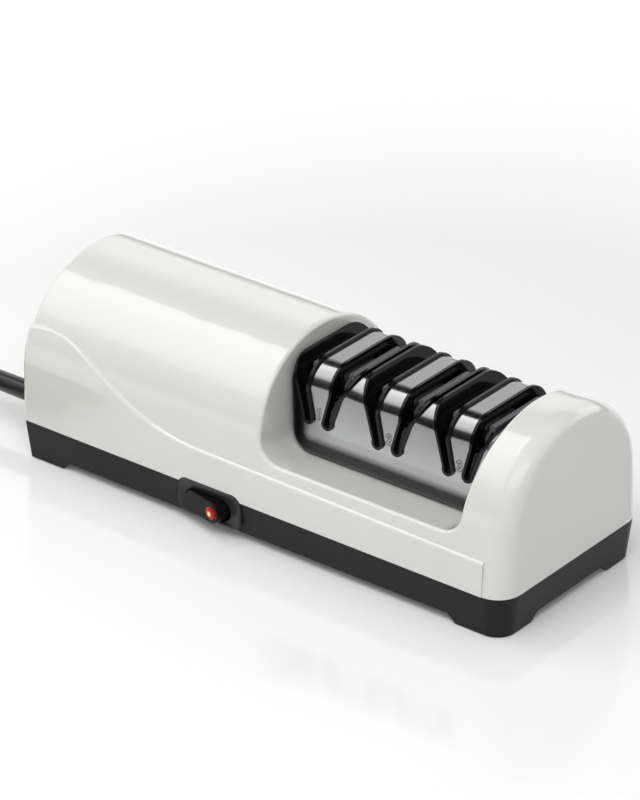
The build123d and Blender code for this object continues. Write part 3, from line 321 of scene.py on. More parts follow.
class Palette:
    """Every finish of the object, by the record's material slot."""

    housing = Finish(
        "pearl_white_moulding",
        (0.72, 0.722, 0.695),
        0.2,
        coat=1.0,
        coat_roughness=0.05,
        grain_size=0.5,
        grain_depth=0.002,
        cloud=0.01,
        cloud_size=45.0,
    )
    base = Finish(
        "charcoal_moulding",
        (0.009, 0.009, 0.01),
        0.4,
        specular=0.22,
        grain_size=0.35,
        grain_depth=0.01,
        cloud=0.15,
    )
    rubber = Finish(
        "black_rubber", (0.02, 0.02, 0.02), 0.75, specular=0.35, grain_depth=0.03, cloud=0.2
    )
    cover = BrushedHood(
        "brushed_steel",
        (0.52, 0.523, 0.53),
        0.14,
        metallic=1.0,
        anisotropy=0.3,
        grain_size=0.22,
        grain_stretch=(1.0, 0.02, 0.02),
        grain_depth=0.0005,
        cloud=0.02,
        gloss_spread=0.06,
    )
    module = Finish(
        "gloss_black_moulding",
        (0.005, 0.005, 0.0055),
        0.1,
        specular=0.28,
        grain_depth=0.002,
        cloud=0.2,
        gloss_spread=0.02,
    )
    arm = Finish("satin_dark_plastic", (0.12, 0.121, 0.125), 0.34, grain_depth=0.006, cloud=0.1)
    disc = Finish(
        "abrasive_coat", (0.3, 0.3, 0.31), 0.55, metallic=0.7, grain_size=0.15, grain_depth=0.05
    )
    shaft = Finish(
        "ground_steel",
        (0.6, 0.6, 0.61),
        0.2,
        metallic=1.0,
        grain_stretch=(1.0, 0.05, 0.05),
        grain_depth=0.001,
    )
    screw = Finish(
        "zinc_plate", (0.62, 0.61, 0.58), 0.3, metallic=1.0, grain_depth=0.002, cloud=0.08
    )
    lamination = Finish(
        "stacked_steel",
        (0.22, 0.22, 0.23),
        0.45,
        metallic=0.9,
        grain_size=0.5,
        grain_stretch=(1.0, 0.02, 0.02),
        grain_depth=0.03,
    )
    winding = Finish(
        "enamelled_copper",
        (0.5, 0.16, 0.05),
        0.3,
        metallic=0.8,
        grain_size=0.6,
        grain_stretch=(0.1, 1.0, 1.0),
        grain_depth=0.1,
    )
    bracket = Finish(
        "cast_aluminium", (0.5, 0.51, 0.52), 0.45, metallic=1.0, grain_size=0.5, grain_depth=0.03
    )
    bronze = Finish(
        "sintered_bronze", (0.42, 0.26, 0.1), 0.5, metallic=1.0, grain_size=0.2, grain_depth=0.03
    )
    inner = Finish("dark_grey_moulding", (0.06, 0.06, 0.065), 0.5, grain_depth=0.01, cloud=0.1)
    bezel = Finish(
        "bezel_satin",
        (0.03, 0.03, 0.032),
        0.36,
        specular=0.3,
        grain_size=0.3,
        grain_depth=0.006,
        cloud=0.08,
    )
    rocker = Finish(
        "rocker_gloss",
        (0.006, 0.006, 0.0065),
        0.2,
        specular=0.15,
        grain_depth=0.002,
        cloud=0.1,
        gloss_spread=0.03,
    )
    lens = LitLens(
        "red_lens",
        (0.36, 0.004, 0.003),
        0.1,
        specular=0.25,
        coat=0.15,
        grain_size=0.8,
        grain_depth=0.02,
        cloud=0.3,
        cloud_size=1.2,
    )
    terminal = Finish(
        "brass_strip",
        (0.68, 0.5, 0.22),
        0.25,
        metallic=1.0,
        grain_stretch=(1.0, 0.1, 1.0),
        grain_depth=0.002,
    )
    lead = Finish(
        "flexible_black",
        (0.018, 0.018, 0.02),
        0.42,
        specular=0.4,
        grain_size=0.5,
        grain_depth=0.015,
        cloud=0.15,
    )
    boot = Finish("smooth_rubber", (0.01, 0.01, 0.011), 0.24, grain_depth=0.004, cloud=0.08)
    tie = Finish("tie_strap", (0.015, 0.015, 0.016), 0.4, grain_depth=0.01, cloud=0.1)
    ink = Finish(
        "black_print", (0.006, 0.006, 0.006), 0.8, specular=0.1, grain_depth=0.0, cloud=0.05
    )

    slots: dict[str, Finish] = {
        "housing_white": housing,
        "base_black": base,
        "rubber_black": rubber,
        "cover_steel": cover,
        "module_black": module,
        "arm_black": arm,
        "disc_abrasive": disc,
        "shaft_steel": shaft,
        "screw_steel": screw,
        "lamination_steel": lamination,
        "winding_copper": winding,
        "bracket_metal": bracket,
        "bush_bronze": bronze,
        "inner_plastic": inner,
        "bezel_grey": bezel,
        "rocker_black": rocker,
        "lens_red": lens,
        "terminal_brass": terminal,
        "lead_black": lead,
        "tie_black": tie,
    }


# ---------------------------------------------------------------- helpers for pieces
def add_object(name: str, data: bpy.types.ID) -> bpy.types.Object:
    """Puts a new object into the scene, at the origin.

    Args:
        name: its name.
        data: its mesh, curve, lamp or camera.

    Returns:
        The object.
    """
    obj = bpy.data.objects.new(name, data)
    bpy.context.scene.collection.objects.link(obj)
    return obj


def aim(obj: bpy.types.Object, way: Vector) -> None:
    """Turns a lamp or a camera so that it looks along a way."""
    obj.rotation_mode = "QUATERNION"
    obj.rotation_quaternion = way.to_track_quat("-Z", "Y")


def mesh_object(name: str, mesh: bmesh.types.BMesh) -> bpy.types.Object:
    """Turns a bmesh into an object at the origin, and frees the bmesh.

    Args:
        name: the piece's name.
        mesh: its geometry in the row frame, in metres.

    Returns:
        The object.
    """
    data = bpy.data.meshes.new(name)
    mesh.to_mesh(data)
    mesh.free()
    return add_object(name, data)


def set_down(mesh: bmesh.types.BMesh, origin: Vector, *turns: Matrix) -> None:
    """Scales a mesh from millimetres to metres, turns it and sets it in its place.

    Args:
        mesh: the geometry round its own origin, in millimetres.
        origin: where that origin comes, in metres.
        turns: its turns, the last one first.
    """
    place = Matrix.Translation(origin)
    for turn in turns:
        place = place @ turn
    bmesh.ops.transform(mesh, matrix=place @ Matrix.Scale(MM, 4), verts=mesh.verts)


def open_edges(mesh: bmesh.types.BMesh) -> list[bmesh.types.BMEdge]:
    """Lists the edges round the holes of a mesh."""
    return [edge for edge in mesh.edges if edge.is_boundary]


def end_faces(mesh: bmesh.types.BMesh) -> list[bmesh.types.BMFace]:
    """Lists the faces with more than four corners, which close the ends of a round mesh."""
    return [face for face in mesh.faces if len(face.verts) > 4]


def finish_piece(
    obj: bpy.types.Object, body: str, finish: Finish, stands_for: Sequence[str] = ()
) -> bpy.types.Object:
    """Gives a new piece its material and body, and hides the CAD nodes it stands for.

    Args:
        obj: the piece, in the row frame.
        body: the body it rides on.
        finish: its finish.
        stands_for: the CAD nodes that it replaces.

    Returns:
        The piece.
    """
    obj.data.materials.clear()
    obj.data.materials.append(finish.material())
    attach(obj, body)
    if stands_for:
        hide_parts(*stands_for)
    return obj


# ---------------------------------------------------------------- the object's sub-assemblies
@dataclass
class CadFinishes:
    """Every CAD node that stays in view gets the finish of its material slot."""

    record: dict
    nodes: dict[str, bpy.types.Object]
    weld: float = 0.00001  # metres
    sharp_over: float = 28.0  # degrees between two faces

    def dress(self) -> None:
        """Assigns the finishes and smooths the nodes."""
        slots = {row["node"]: row["material_slot"] for row in self.record["subparts"]}
        group = self.shading_group()
        for name, obj in self.nodes.items():
            finish = Palette.slots[slots[name]]
            obj.data.materials.clear()
            obj.data.materials.append(finish.material())
            self.smooth(obj, group)
            log.info("finish %s on %s", finish.name, name)

    def shading_group(self) -> bpy.types.NodeTree:
        """Makes a modifier group that welds loose triangles and keeps only sharp edges sharp.

        Returns:
            The geometry node group.
        """
        group = bpy.data.node_groups.new("weld_and_smooth", "GeometryNodeTree")
        for way in ("INPUT", "OUTPUT"):
            group.interface.new_socket("Geometry", in_out=way, socket_type="NodeSocketGeometry")
        board = NodeBoard(group)
        loose = board.add("NodeGroupInput").outputs[0]
        merge = {"Geometry": loose, "Distance": self.weld}
        welded = board.add("GeometryNodeMergeByDistance", merge).outputs[0]
        smooth = {"Geometry": welded, "Shade Smooth": True}
        smoothed = board.add("GeometryNodeSetShadeSmooth", smooth, domain="FACE").outputs[0]
        between = board.add("GeometryNodeInputMeshEdgeAngle").outputs[0]
        limit = {"0": between, "1": math.radians(self.sharp_over)}
        sharp = board.add(
            "FunctionNodeCompare", limit, data_type="FLOAT", operation="GREATER_THAN"
        )
        keep = {"Geometry": smoothed, "Selection": sharp.outputs[0], "Shade Smooth": False}
        kept = board.add("GeometryNodeSetShadeSmooth", keep, domain="EDGE").outputs[0]
        board.add("NodeGroupOutput", {"0": kept})
        return group

    def smooth(self, obj: bpy.types.Object, group: bpy.types.NodeTree) -> None:
        """Welds and smooths a CAD node by modifiers, and leaves its mesh alone.

        Args:
            obj: the node's object.
            group: the modifier group that welds and smooths.
        """
        modifier = obj.modifiers.new("weld_and_smooth", "NODES")
        modifier.node_group = group
        weight = obj.modifiers.new("even_normals", "WEIGHTED_NORMAL")
        weight.mode = "FACE_AREA"
        weight.keep_sharp = True


@dataclass
class StageNumerals:
    """The numbers on the front of the cover, one under each pair of slots."""

    stage_x: Sequence[float] = (17.2, 55.8, 94.4)  # middle of each pair
    width: float = 2.8
    base_z: float = 61.0
    face_y: float = -28.35
    lean: float = 3.2  # degrees that the panel leans back
    outline: float = 0.2
    shapes: Sequence[Sequence[Span]] = (  # corners of bold numerals, from the lower left
        ((1.0, 0.0), (2.1, 0.0), (2.1, 5.4), (1.3, 5.4), (0.2, 4.6), (0.2, 3.5), (1.0, 4.0)),
        (
            *((0.0, 0.0), (2.8, 0.0), (2.8, 1.1), (1.6, 1.1), (2.8, 3.0), (2.8, 4.5)),
            *((2.0, 5.4), (0.8, 5.4), (0.0, 4.5), (0.0, 3.7), (1.1, 3.7), (1.4, 4.4)),
            *((1.7, 3.9), (1.7, 3.3), (0.0, 0.9)),
        ),
        (
            *((0.0, 1.7), (0.0, 0.9), (0.8, 0.0), (2.0, 0.0), (2.8, 0.9), (2.8, 2.2)),
            *((2.3, 2.7), (2.8, 3.2), (2.8, 4.5), (2.0, 5.4), (0.8, 5.4), (0.0, 4.5)),
            *((0.0, 3.7), (1.1, 3.7), (1.4, 4.3), (1.7, 3.8), (1.5, 3.1), (0.9, 3.1)),
            *((0.9, 2.3), (1.5, 2.3), (1.7, 1.6), (1.4, 1.1), (1.1, 1.7)),
        ),
    )

    def outlined(self, number: int) -> bpy.types.Object:
        """Draws a numeral's outline as a round line.

        Args:
            number: the numeral.

        Returns:
            The curve, flat at the origin.
        """
        curve = bpy.data.curves.new(f"numeral_{number}", "CURVE")
        curve.bevel_depth = self.outline / 2 * MM
        curve.bevel_resolution = 1
        corners = self.shapes[number - 1]
        spline = curve.splines.new("POLY")
        spline.points.add(len(corners) - 1)
        for point, (across, up) in zip(spline.points, corners):
            point.co = ((across - self.width / 2) * MM, up * MM, 0.0, 1.0)
        spline.use_cyclic_u = True
        return add_object(f"numeral_{number}_line", curve)

    def build(self) -> None:
        """Prints the outlined numerals on the panel."""
        upright = Matrix.Rotation(math.radians(90 - self.lean), 4, "X")
        for number, x in enumerate(self.stage_x, start=1):
            line = self.outlined(number)
            graph = bpy.context.evaluated_depsgraph_get()
            mesh = bpy.data.meshes.new_from_object(line.evaluated_get(graph))
            bpy.data.objects.remove(line)
            mesh.transform(Matrix.Translation(metres((x, self.face_y, self.base_z))) @ upright)
            piece = add_object(f"numeral_{number}", mesh)
            finish_piece(piece, "case", Palette.ink)
            log.info("numeral %d", number)


@dataclass
class LampLens:
    """The lamp's red lens: a cut dome on a short barrel, set in the face of the rocker."""

    centre: Point = (-21.84, -57.23, 12.7)  # middle of the lens on the rocker's face
    tilt: float = -12.0  # degrees that the face is turned
    radius: float = 3.2
    dome: float = 0.75
    barrel: float = 1.6
    sides: int = 9
    cuts: Sequence[Span] = ((0.72, 0.62), (0.36, 0.94))  # shares of the radius and of the dome
    cut_edge: float = 0.0001  # width of the ring before the cut moves it
    tip: float = 0.06

    def build(self) -> None:
        """Cuts the dome ring by ring from a many-sided barrel."""
        mesh = bmesh.new()
        bmesh.ops.create_circle(mesh, cap_ends=True, segments=self.sides, radius=self.radius)
        face = mesh.faces[:][0]
        turn = Matrix.Rotation(math.pi / self.sides, 3, "Z")
        reach, level = 1.0, 0.0
        for share, height in self.cuts:
            bmesh.ops.inset_individual(mesh, faces=[face], thickness=self.cut_edge)
            shrink = share / reach
            bmesh.ops.scale(mesh, vec=(shrink, shrink, 1.0), verts=face.verts)
            bmesh.ops.rotate(mesh, cent=(0, 0, 0), matrix=turn, verts=face.verts)
            rise = (height - level) * self.dome
            bmesh.ops.translate(mesh, vec=(0, 0, rise), verts=face.verts)
            reach, level = share, height
        bmesh.ops.poke(mesh, faces=[face], offset=self.tip)
        wall = bmesh.ops.extrude_edge_only(mesh, edges=open_edges(mesh))
        lower = [item for item in wall["geom"] if isinstance(item, bmesh.types.BMVert)]
        bmesh.ops.translate(mesh, vec=(0, 0, -self.barrel), verts=lower)
        bmesh.ops.holes_fill(mesh, edges=open_edges(mesh), sides=0)
        bmesh.ops.triangulate(mesh, faces=[face for face in mesh.faces if len(face.verts) == 4])
        bmesh.ops.recalc_face_normals(mesh, faces=mesh.faces)
        tilt = Matrix.Rotation(math.radians(self.tilt), 4, "Z")
        set_down(mesh, Vector(self.centre) * MM, tilt, Matrix.Rotation(QUARTER_TURN, 4, "X"))
        piece = mesh_object("lamp_lens", mesh)
        finish_piece(piece, "rocker", Palette.lens, ["switch_lens"])
        log.info("lamp lens with %d sides", self.sides)


class Stage(StrEnum):
    """The stages, in the order of their pairs of discs."""

    COARSE = "coarse"
    FINE = "fine"
    POLISH = "polish"


class Hand(StrEnum):
    """The two discs of a pair."""

    LEFT = "left"
    RIGHT = "right"


@dataclass
class DiscSprings:
    """The wire spring between each pair of discs, as two halves, each wound from the middle
    towards one disc.
    """

    coil_radius: float = 8.65
    wire_radius: float = 0.5
    wire_sides: int = 12
    half_turns: float = 1.25
    half_high: float = 2.9
    disc_travel: float = 0.9
    steps: int = 48

    def wire(self) -> bmesh.types.BMesh:
        """Winds half a spring, upwards from the origin.

        Returns:
            The closed wire, in millimetres.
        """
        mesh = bmesh.new()
        bmesh.ops.create_circle(
            mesh, cap_ends=False, segments=self.wire_sides, radius=self.wire_radius
        )
        upright = Matrix.Rotation(QUARTER_TURN, 3, "X")
        bmesh.ops.rotate(mesh, cent=(0, 0, 0), matrix=upright, verts=mesh.verts)
        bmesh.ops.translate(mesh, vec=(self.coil_radius, 0, 0), verts=mesh.verts)
        bmesh.ops.spin(
            mesh,
            geom=mesh.verts[:] + mesh.edges[:],
            cent=(0, 0, 0),
            axis=(0, 0, 1),
            dvec=(0, 0, self.half_high / self.steps),
            angle=2 * math.pi * self.half_turns,
            steps=self.steps,
        )
        for face in mesh.faces:
            face.smooth = True
        bmesh.ops.holes_fill(mesh, edges=open_edges(mesh), sides=0)
        bmesh.ops.recalc_face_normals(mesh, faces=mesh.faces)
        return mesh

    def half(self, stage: Stage, hand: Hand) -> None:
        """Sets half a spring between the middle of a pair and one of its discs.

        Args:
            stage: the pair's stage.
            hand: the disc that this half is wound towards.
        """
        low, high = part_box(f"disc_spring_{stage}")
        middle = (Vector(low) + Vector(high)) / 2
        turns = [Matrix.Rotation(QUARTER_TURN, 4, "Y")]
        if hand is Hand.LEFT:
            turns.append(Matrix.Rotation(HALF_TURN, 4, "X"))
        mesh = self.wire()
        set_down(mesh, middle, *turns)
        piece = mesh_object(f"spring_{stage}_{hand}", mesh)
        finish_piece(piece, "spindle", Palette.shaft, [f"disc_spring_{stage}"])
        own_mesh(piece)

    def build(self) -> None:
        """Winds the three springs."""
        for stage in Stage:
            for hand in Hand:
                self.half(stage, hand)
            log.info("spring %s", stage)


@dataclass
class LeadBoot:
    """The smooth rubber boot where the lead leaves the housing, with its neck and inner collar."""

    axis_y: float = -30.5
    axis_z: float = 20.5
    far_x: float = -182.5
    far_radius: float = 4.6
    sides: int = 56
    rounding: float = 0.7
    rounding_cuts: int = 5
    mouth_radius: float = 3.75
    mouth_deep: float = 2.0
    sharp_over: float = 0.5  # radians between two faces
    steps: Sequence[Span] = (  # along x, radius
        (-137.5, 5.0),
        (-137.5, 4.5),
        (-134.1, 4.5),
        (-134.1, 6.6),
        (-132.3, 6.6),
    )

    def body(self) -> tuple[bmesh.types.BMesh, bmesh.types.BMFace]:
        """Draws a cone along z, then its neck and collar out of the near end, step by step.

        Returns:
            The mesh, with the far end at the origin, and the face of the far end.
        """
        mesh = bmesh.new()
        long = self.steps[0][0] - self.far_x
        radii = {"radius1": self.far_radius, "radius2": self.steps[0][1]}
        bmesh.ops.create_cone(mesh, cap_ends=True, segments=self.sides, depth=long, **radii)
        bmesh.ops.translate(mesh, vec=(0, 0, long / 2), verts=mesh.verts)
        tip, front = sorted(end_faces(mesh), key=lambda face: face.verts[0].co.z)
        for (x, radius), (next_x, next_radius) in zip(self.steps, self.steps[1:]):
            front = bmesh.ops.extrude_discrete_faces(mesh, faces=[front])["faces"][0]
            grow = next_radius / radius
            bmesh.ops.scale(mesh, vec=(grow, grow, 1.0), verts=front.verts)
            bmesh.ops.translate(mesh, vec=(0, 0, next_x - x), verts=front.verts)
        return mesh, tip

    def build(self) -> bpy.types.Object:
        """Rounds the far end, hollows its mouth and sets the boot in its place.

        Returns:
            The boot.
        """
        mesh, tip = self.body()
        bmesh.ops.bevel(
            mesh,
            geom=tip.edges[:],
            offset=self.rounding,
            affect="EDGES",
            segments=self.rounding_cuts,
            profile=0.5,
            material=-1,
        )
        tip = next(face for face in end_faces(mesh) if abs(face.verts[0].co.z) < TINY)
        tip = bmesh.ops.extrude_discrete_faces(mesh, faces=[tip])["faces"][0]
        share = self.mouth_radius / (self.far_radius - self.rounding)
        bmesh.ops.scale(mesh, vec=(share, share, 1.0), verts=tip.verts)
        tip = bmesh.ops.extrude_discrete_faces(mesh, faces=[tip])["faces"][0]
        bmesh.ops.translate(mesh, vec=(0, 0, self.mouth_deep), verts=tip.verts)
        bmesh.ops.remove_doubles(mesh, verts=mesh.verts, dist=TINY)
        bmesh.ops.recalc_face_normals(mesh, faces=mesh.faces)
        for face in mesh.faces:
            face.smooth = len(face.verts) == 4
        for edge in mesh.edges:
            edge.smooth = edge.calc_face_angle(0.0) < self.sharp_over
        far_end = Vector((self.far_x, self.axis_y, self.axis_z)) * MM
        set_down(mesh, far_end, Matrix.Rotation(QUARTER_TURN, 4, "Y"))
        boot = mesh_object("lead_boot", mesh)
        finish_piece(boot, "case", Palette.boot, ["strain_relief"])
        log.info("lead boot with %d steps", len(self.steps))
        return boot


@dataclass
class MainsLead:
    """The free lead: out of the boot, down to the table, round the tied coil and to its plug."""

    left_end: float = -137.5
    lead_y: float = -30.5
    lead_z: float = 20.5
    diameter: float = 7.0
    length: float = 1043.0
    inside: float = 10.5  # from the left end to where the lead starts
    straight: float = 57.5  # from the left end to where it bends down
    landing: Point = (-88.5, 0.5, 3.7)  # from the left end and the lead's y, and the height
    coil_offset: Span = (-112.5, -38.5)
    coil_radius: float = 38.5
    turns: float = 3.5
    points_per_turn: int = 16
    places: Sequence[Span] = (  # offset from the coil's radius, height
        (3.5, 3.6),
        (-3.5, 3.6),
        (-3.5, 10.6),
        (3.5, 10.6),
        (8.5, 8.5),
        (10.5, 3.6),
    )
    moves: Sequence[Span] = (  # the turns from one place to the next
        (0.78, 1.0),
        (1.58, 1.8),
        (2.38, 2.62),
        (3.28, 3.42),
        (3.42, 3.5),
    )
    tail: Sequence[Point] = ((26.0, -5.0, 3.7), (54.0, -1.0, 6.5))  # from the coil's near side
    strap_half: float = 7.05
    strap_rounding: float = 4.2
    strap_cuts: int = 6
    strap_thick: float = 0.9
    strap_wide: float = 7.0
    strap_sole: float = -7.0  # cut flat there, so that it lies on the table
    strap_z: float = 7.1
    curve_steps: int = 8
    rim_steps: int = 6

    def coil_middle(self) -> tuple[float, float]:
        """Finds the coil's middle on the table."""
        return self.left_end + self.coil_offset[0], self.lead_y + self.coil_offset[1]

    def place(self, turn: float) -> tuple[float, float]:
        """Finds where the lead lies in the coil's section after some turns.

        Args:
            turn: turns since the lead met the coil.

        Returns:
            The offset from the coil's radius, and the height.
        """
        out, up = self.places[0]
        for (start, stop), (next_out, next_up) in zip(self.moves, self.places[1:]):
            share = min(max((turn - start) / (stop - start), 0.0), 1.0)
            out, up = out + (next_out - out) * share, up + (next_up - up) * share
        return out, up

    def route(self) -> list[Point]:
        """Works out the control points of the whole lead.

        Returns:
            The points in millimetres.
        """
        x, y = self.coil_middle()
        down, aside, up = self.landing
        points: list[Point] = [
            (self.left_end + self.inside, self.lead_y, self.lead_z),
            (self.left_end - self.straight, self.lead_y, self.lead_z),
            (self.left_end + down, self.lead_y + aside, up),
        ]
        for step in range(int(self.turns * self.points_per_turn) + 1):
            turn = step / self.points_per_turn
            out, up = self.place(turn)
            radius = (self.coil_radius + out) / math.cos(math.pi / self.points_per_turn)
            angle = math.pi / 2 + 2 * math.pi * turn
            points.append((x + radius * math.cos(angle), y + radius * math.sin(angle), up))
        points += [(x + on, y - self.coil_radius + aside, up) for on, aside, up in self.tail]
        return points

    def strap(self) -> bpy.types.Object:
        """Makes the flat strap that holds the coil together, at its far side.

        Returns:
            The strap.
        """
        mesh = bmesh.new()
        bmesh.ops.create_cube(mesh, size=1.0)
        sides = (2 * self.strap_half, self.strap_wide, 2 * self.strap_half)
        bmesh.ops.scale(mesh, vec=sides, verts=mesh.verts)
        bmesh.ops.bevel(
            mesh,
            geom=[edge for edge in mesh.edges if edge.verts[0].co.y * edge.verts[1].co.y < 0],
            offset=self.strap_rounding,
            offset_type="OFFSET",
            affect="EDGES",
            segments=self.strap_cuts,
            profile=0.5,
            material=-1,
        )
        bmesh.ops.delete(mesh, geom=end_faces(mesh), context="FACES_ONLY")
        bmesh.ops.solidify(mesh, geom=mesh.faces[:], thickness=self.strap_thick)
        bmesh.ops.recalc_face_normals(mesh, faces=mesh.faces)
        bmesh.ops.bisect_plane(
            mesh,
            geom=mesh.verts[:] + mesh.edges[:] + mesh.faces[:],
            plane_co=(0, 0, self.strap_sole),
            plane_no=(0, 0, -1),
            clear_outer=True,
        )
        bmesh.ops.holes_fill(mesh, edges=open_edges(mesh), sides=0)
        x, y = self.coil_middle()
        set_down(mesh, Vector((x - self.coil_radius, y, self.strap_z)) * MM)
        piece = mesh_object("coil_strap", mesh)
        return finish_piece(piece, "case", Palette.tie, ["cord_tie"])

    def spline(self) -> bpy.types.Curve:
        """Lays the lead's round line through its control points.

        Returns:
            The curve.
        """
        curve = bpy.data.curves.new("mains_lead", "CURVE")
        curve.dimensions = "3D"
        spline = curve.splines.new("NURBS")
        points = self.route()
        spline.points.add(len(points) - 1)
        for point, place in zip(spline.points, points):
            point.co = (*metres(place), 1.0)
        spline.order_u = 3
        spline.use_endpoint_u = True
        curve.resolution_u = self.curve_steps
        curve.bevel_depth = self.diameter / 2 * MM
        curve.bevel_resolution = self.rim_steps
        curve.use_fill_caps = True
        return curve

    def build(self) -> None:
        lead = add_object("mains_lead", self.spline())
        replaced = ["power_cord_lead", "cord_coil", "power_cord_tail"]
        finish_piece(lead, "case", Palette.lead, replaced)
        LeadBoot().build()
        self.strap()
        log.info("mains lead with %g turns", self.turns)


# ---------------------------------------------------------------- studio
@dataclass(frozen=True)
class SoftBox:
    """A soft rectangular lamp, by its place, what it faces, its sides and its brightness."""

    FADE_REACH: ClassVar[Span] = (0.0, 0.9)  # share of the way across
    FADE_LIGHT: ClassVar[Span] = (0.15, 1.0)

    name: str
    place: Point
    facing: Point
    across: float
    high: float
    brightness: float
    fades: bool = False  # towards one of its long edges
    mirrored: bool = True  # whether gloss shows it

    def build(self) -> None:
        """Hangs the lamp, with its first side level."""
        data = bpy.data.lights.new(self.name, "AREA")
        data.shape = "RECTANGLE"
        data.size, data.size_y = self.across, self.high
        data.energy = self.brightness * math.pi * self.across * self.high
        if self.fades:
            data.use_nodes = True
            board = NodeBoard(data.node_tree)
            on_lamp = board.add("ShaderNodeNewGeometry").outputs["Parametric"]
            share = board.add("ShaderNodeSeparateXYZ", {"Vector": on_lamp}).outputs["Y"]
            light = board.ramp(share, self.FADE_REACH, self.FADE_LIGHT)
            glow = board.add("ShaderNodeEmission", {"Strength": light})
            board.add("ShaderNodeOutputLight", {"Surface": glow.outputs[0]})
        lamp = add_object(self.name, data)
        lamp.location = self.place
        lamp.visible_glossy = self.mirrored
        aim(lamp, Vector(self.facing))
        log.info("soft box %s", self.name)


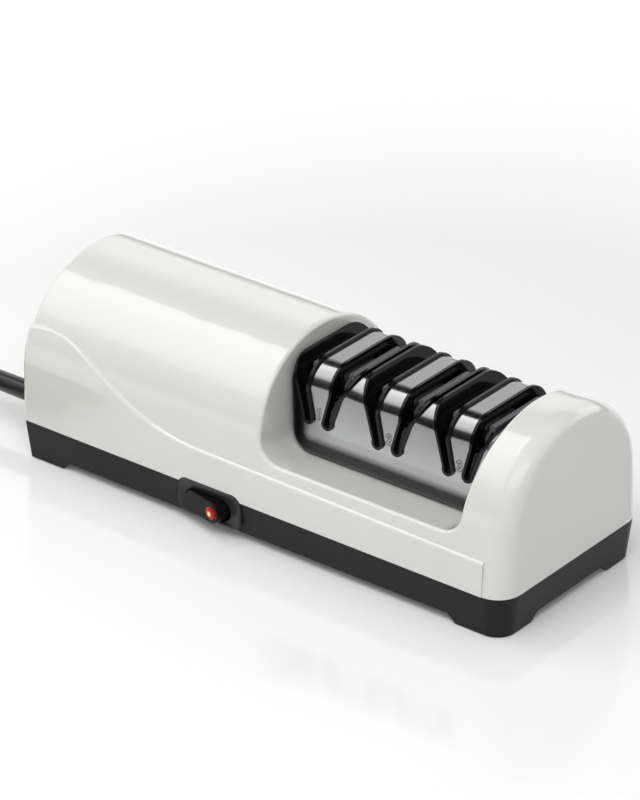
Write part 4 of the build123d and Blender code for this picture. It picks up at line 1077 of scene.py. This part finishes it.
@dataclass
class Studio:
    """A pale floor, a white sweep that gloss sees behind the object, and soft boxes."""

    floor_colour: Colour = (0.84, 0.84, 0.84)
    floor_roughness: float = 0.1
    floor_specular: float = 0.55
    floor_radius: float = 6.0
    floor_sides: int = 96
    # the floor's glow for camera and gloss rays; it is weaker near the object, which paints shade
    # round the object
    camera_lift_painted_shade: Span = (0.07, 0.42)  # near the object, far from it
    lift_reach: Span = (0.28, 0.62)
    world_light: float = 0.39
    room_shade: float = 0.03  # what gloss sees of the room before and above the sweep
    room_open: float = 0.42  # and at the open side and straight above
    open_turns: Span = (-0.3, 0.15)  # from the closed to the open side
    open_top: Span = (0.86, 0.92)
    sweep_foot: Span = (0.0, 0.17)  # sines of the elevations where the sweep fades in
    sweep_top: Span = (0.56, 0.74)  # and out
    sweep_turns: Span = (-0.3, 0.15)  # cosines to the sweep's middle where it fades in
    sweep_low: float = 0.1  # what is left of the sweep at its foot
    sweep_light: float = 1.22
    sweep_middle: Point = (-0.62, 0.785, 0.0)
    boxes: Sequence[SoftBox] = (
        SoftBox("ceiling_box", (-0.72, -0.72, 1.0), (0.0, 0.0, -1.0), 1.0, 1.56, 2.2, fades=True),
        SoftBox(
            "overhead_box", (0.3, -0.62, 1.0), (-0.25, 0.6, -0.95), 0.9, 0.6, 3.9, mirrored=False
        ),
        SoftBox("front_fill", (0.55, -0.95, 1.15), (-0.55, 0.95, -1.1), 1.0, 0.8, 0.7),
        SoftBox("back_fill", (0.45, 1.3, 0.7), (-0.45, -1.3, -0.6), 1.2, 0.8, 0.6),
    )

    def build(self) -> None:
        """Builds the floor, the surround and the soft boxes."""
        self.floor()
        self.surround()
        for box in self.boxes:
            box.build()

    def floor(self) -> None:
        """Lays a wide disc of floor that shows white far from the object and glows less near it,
        which paints shade there.
        """
        mesh = bmesh.new()
        bmesh.ops.create_circle(
            mesh, cap_ends=True, segments=self.floor_sides, radius=self.floor_radius
        )
        floor = mesh_object("studio_floor", mesh)
        material = bpy.data.materials.new("pale_floor")
        material.use_nodes = True
        board = NodeBoard(material.node_tree)
        rays = board.add("ShaderNodeLightPath").outputs
        shown = board.math("MAXIMUM", rays["Is Camera Ray"], rays["Is Glossy Ray"])
        shown = board.math("MAXIMUM", shown, rays["Is Transmission Ray"])
        place = board.add("ShaderNodeTexCoord").outputs["Object"]
        far = board.add("ShaderNodeVectorMath", {"0": place}, operation="LENGTH")
        # painted shade: less glow near the object
        lift = board.ramp(far.outputs["Value"], self.lift_reach, self.camera_lift_painted_shade)
        shader = board.add(
            "ShaderNodeBsdfPrincipled",
            {
                "Base Color": shade(self.floor_colour),
                "Roughness": self.floor_roughness,
                "Specular IOR Level": self.floor_specular,
                "Emission Color": WHITE,
                "Emission Strength": board.math("MULTIPLY", shown, lift),
            },
        )
        board.add("ShaderNodeOutputMaterial", {"Surface": shader.outputs[0]})
        floor.data.materials.append(material)

    def gloss_light(self, board: NodeBoard) -> bpy.types.NodeSocket:
        """Works out how bright the room is, seen in gloss: a white sweep in a dim room.

        Args:
            board: the world's nodes.

        Returns:
            The brightness along a ray.
        """
        way = board.add("ShaderNodeTexCoord").outputs["Generated"]
        parts = board.add("ShaderNodeSeparateXYZ", {"Vector": way}).outputs
        side = board.ramp(parts["X"], self.open_turns, (self.room_shade, self.room_open))
        above = board.ramp(parts["Z"], self.open_top, (0.0, self.room_open))
        room = board.math("MAXIMUM", side, above)
        ends = {"0": way, "1": self.sweep_middle}
        turn = board.add("ShaderNodeVectorMath", ends, operation="DOT_PRODUCT").outputs["Value"]
        sweep = board.ramp(turn, self.sweep_turns, RISE)
        foot = board.ramp(parts["Z"], self.sweep_foot, (self.sweep_low, 1.0))
        sweep = board.math("MULTIPLY", sweep, foot)
        sweep = board.math("MULTIPLY", sweep, board.ramp(parts["Z"], self.sweep_top, FALL))
        return board.math("MAXIMUM", room, board.math("MULTIPLY", sweep, self.sweep_light))

    def surround(self) -> None:
        """Lights the object evenly all round, and shows white behind it."""
        world = bpy.data.worlds.new("soft_surround")
        bpy.context.scene.world = world
        world.use_nodes = True
        board = NodeBoard(world.node_tree)
        rays = board.add("ShaderNodeLightPath").outputs
        lit, mirrored, seen = (
            board.add("ShaderNodeBackground", {"Color": WHITE, "Strength": light}).outputs[0]
            for light in (self.world_light, self.gloss_light(board), 1.0)
        )
        either = {"0": rays["Is Glossy Ray"], "1": lit, "2": mirrored}
        room = board.add("ShaderNodeMixShader", either)
        direct = board.math("MAXIMUM", rays["Is Camera Ray"], rays["Is Transmission Ray"])
        shown = board.add("ShaderNodeMixShader", {"0": direct, "1": room.outputs[0], "2": seen})
        board.add("ShaderNodeOutputWorld", {"Surface": shown.outputs[0]})


@dataclass
class StudioCamera:
    """The camera, placed by azimuth, elevation and distance round a target."""

    azimuth: float = 38.26
    elevation: float = 28.02
    distance: float = 2.1004
    target: Point = (-0.00429, 0.0, 0.05199)
    lens: float = 210.05
    sensor: float = 36.0
    clip: Span = (0.05, 50.0)

    def build(self) -> None:
        """Makes the camera and sets it as the scene's."""
        a, e = math.radians(self.azimuth), math.radians(self.elevation)
        back = Vector((math.sin(a) * math.cos(e), -math.cos(a) * math.cos(e), math.sin(e)))
        data = bpy.data.cameras.new("studio_camera")
        data.sensor_width, data.lens = self.sensor, self.lens
        data.clip_start, data.clip_end = self.clip
        camera = add_object("studio_camera", data)
        camera.location = Vector(self.target) + back * self.distance
        aim(camera, -back)
        bpy.context.scene.camera = camera


def main() -> None:
    """Builds the camera, the studio and every dressed sub-assembly in order."""
    logging.basicConfig(level=logging.INFO, format="%(name)s: %(message)s")
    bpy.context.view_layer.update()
    bpy.context.scene.view_settings.view_transform = "Standard"
    StudioCamera().build()
    Studio().build()
    CadFinishes(frame["record"], frame["nodes"]).dress()
    MainsLead().build()
    StageNumerals().build()
    LampLens().build()
    DiscSprings().build()


if __name__ == "__main__":
    main()
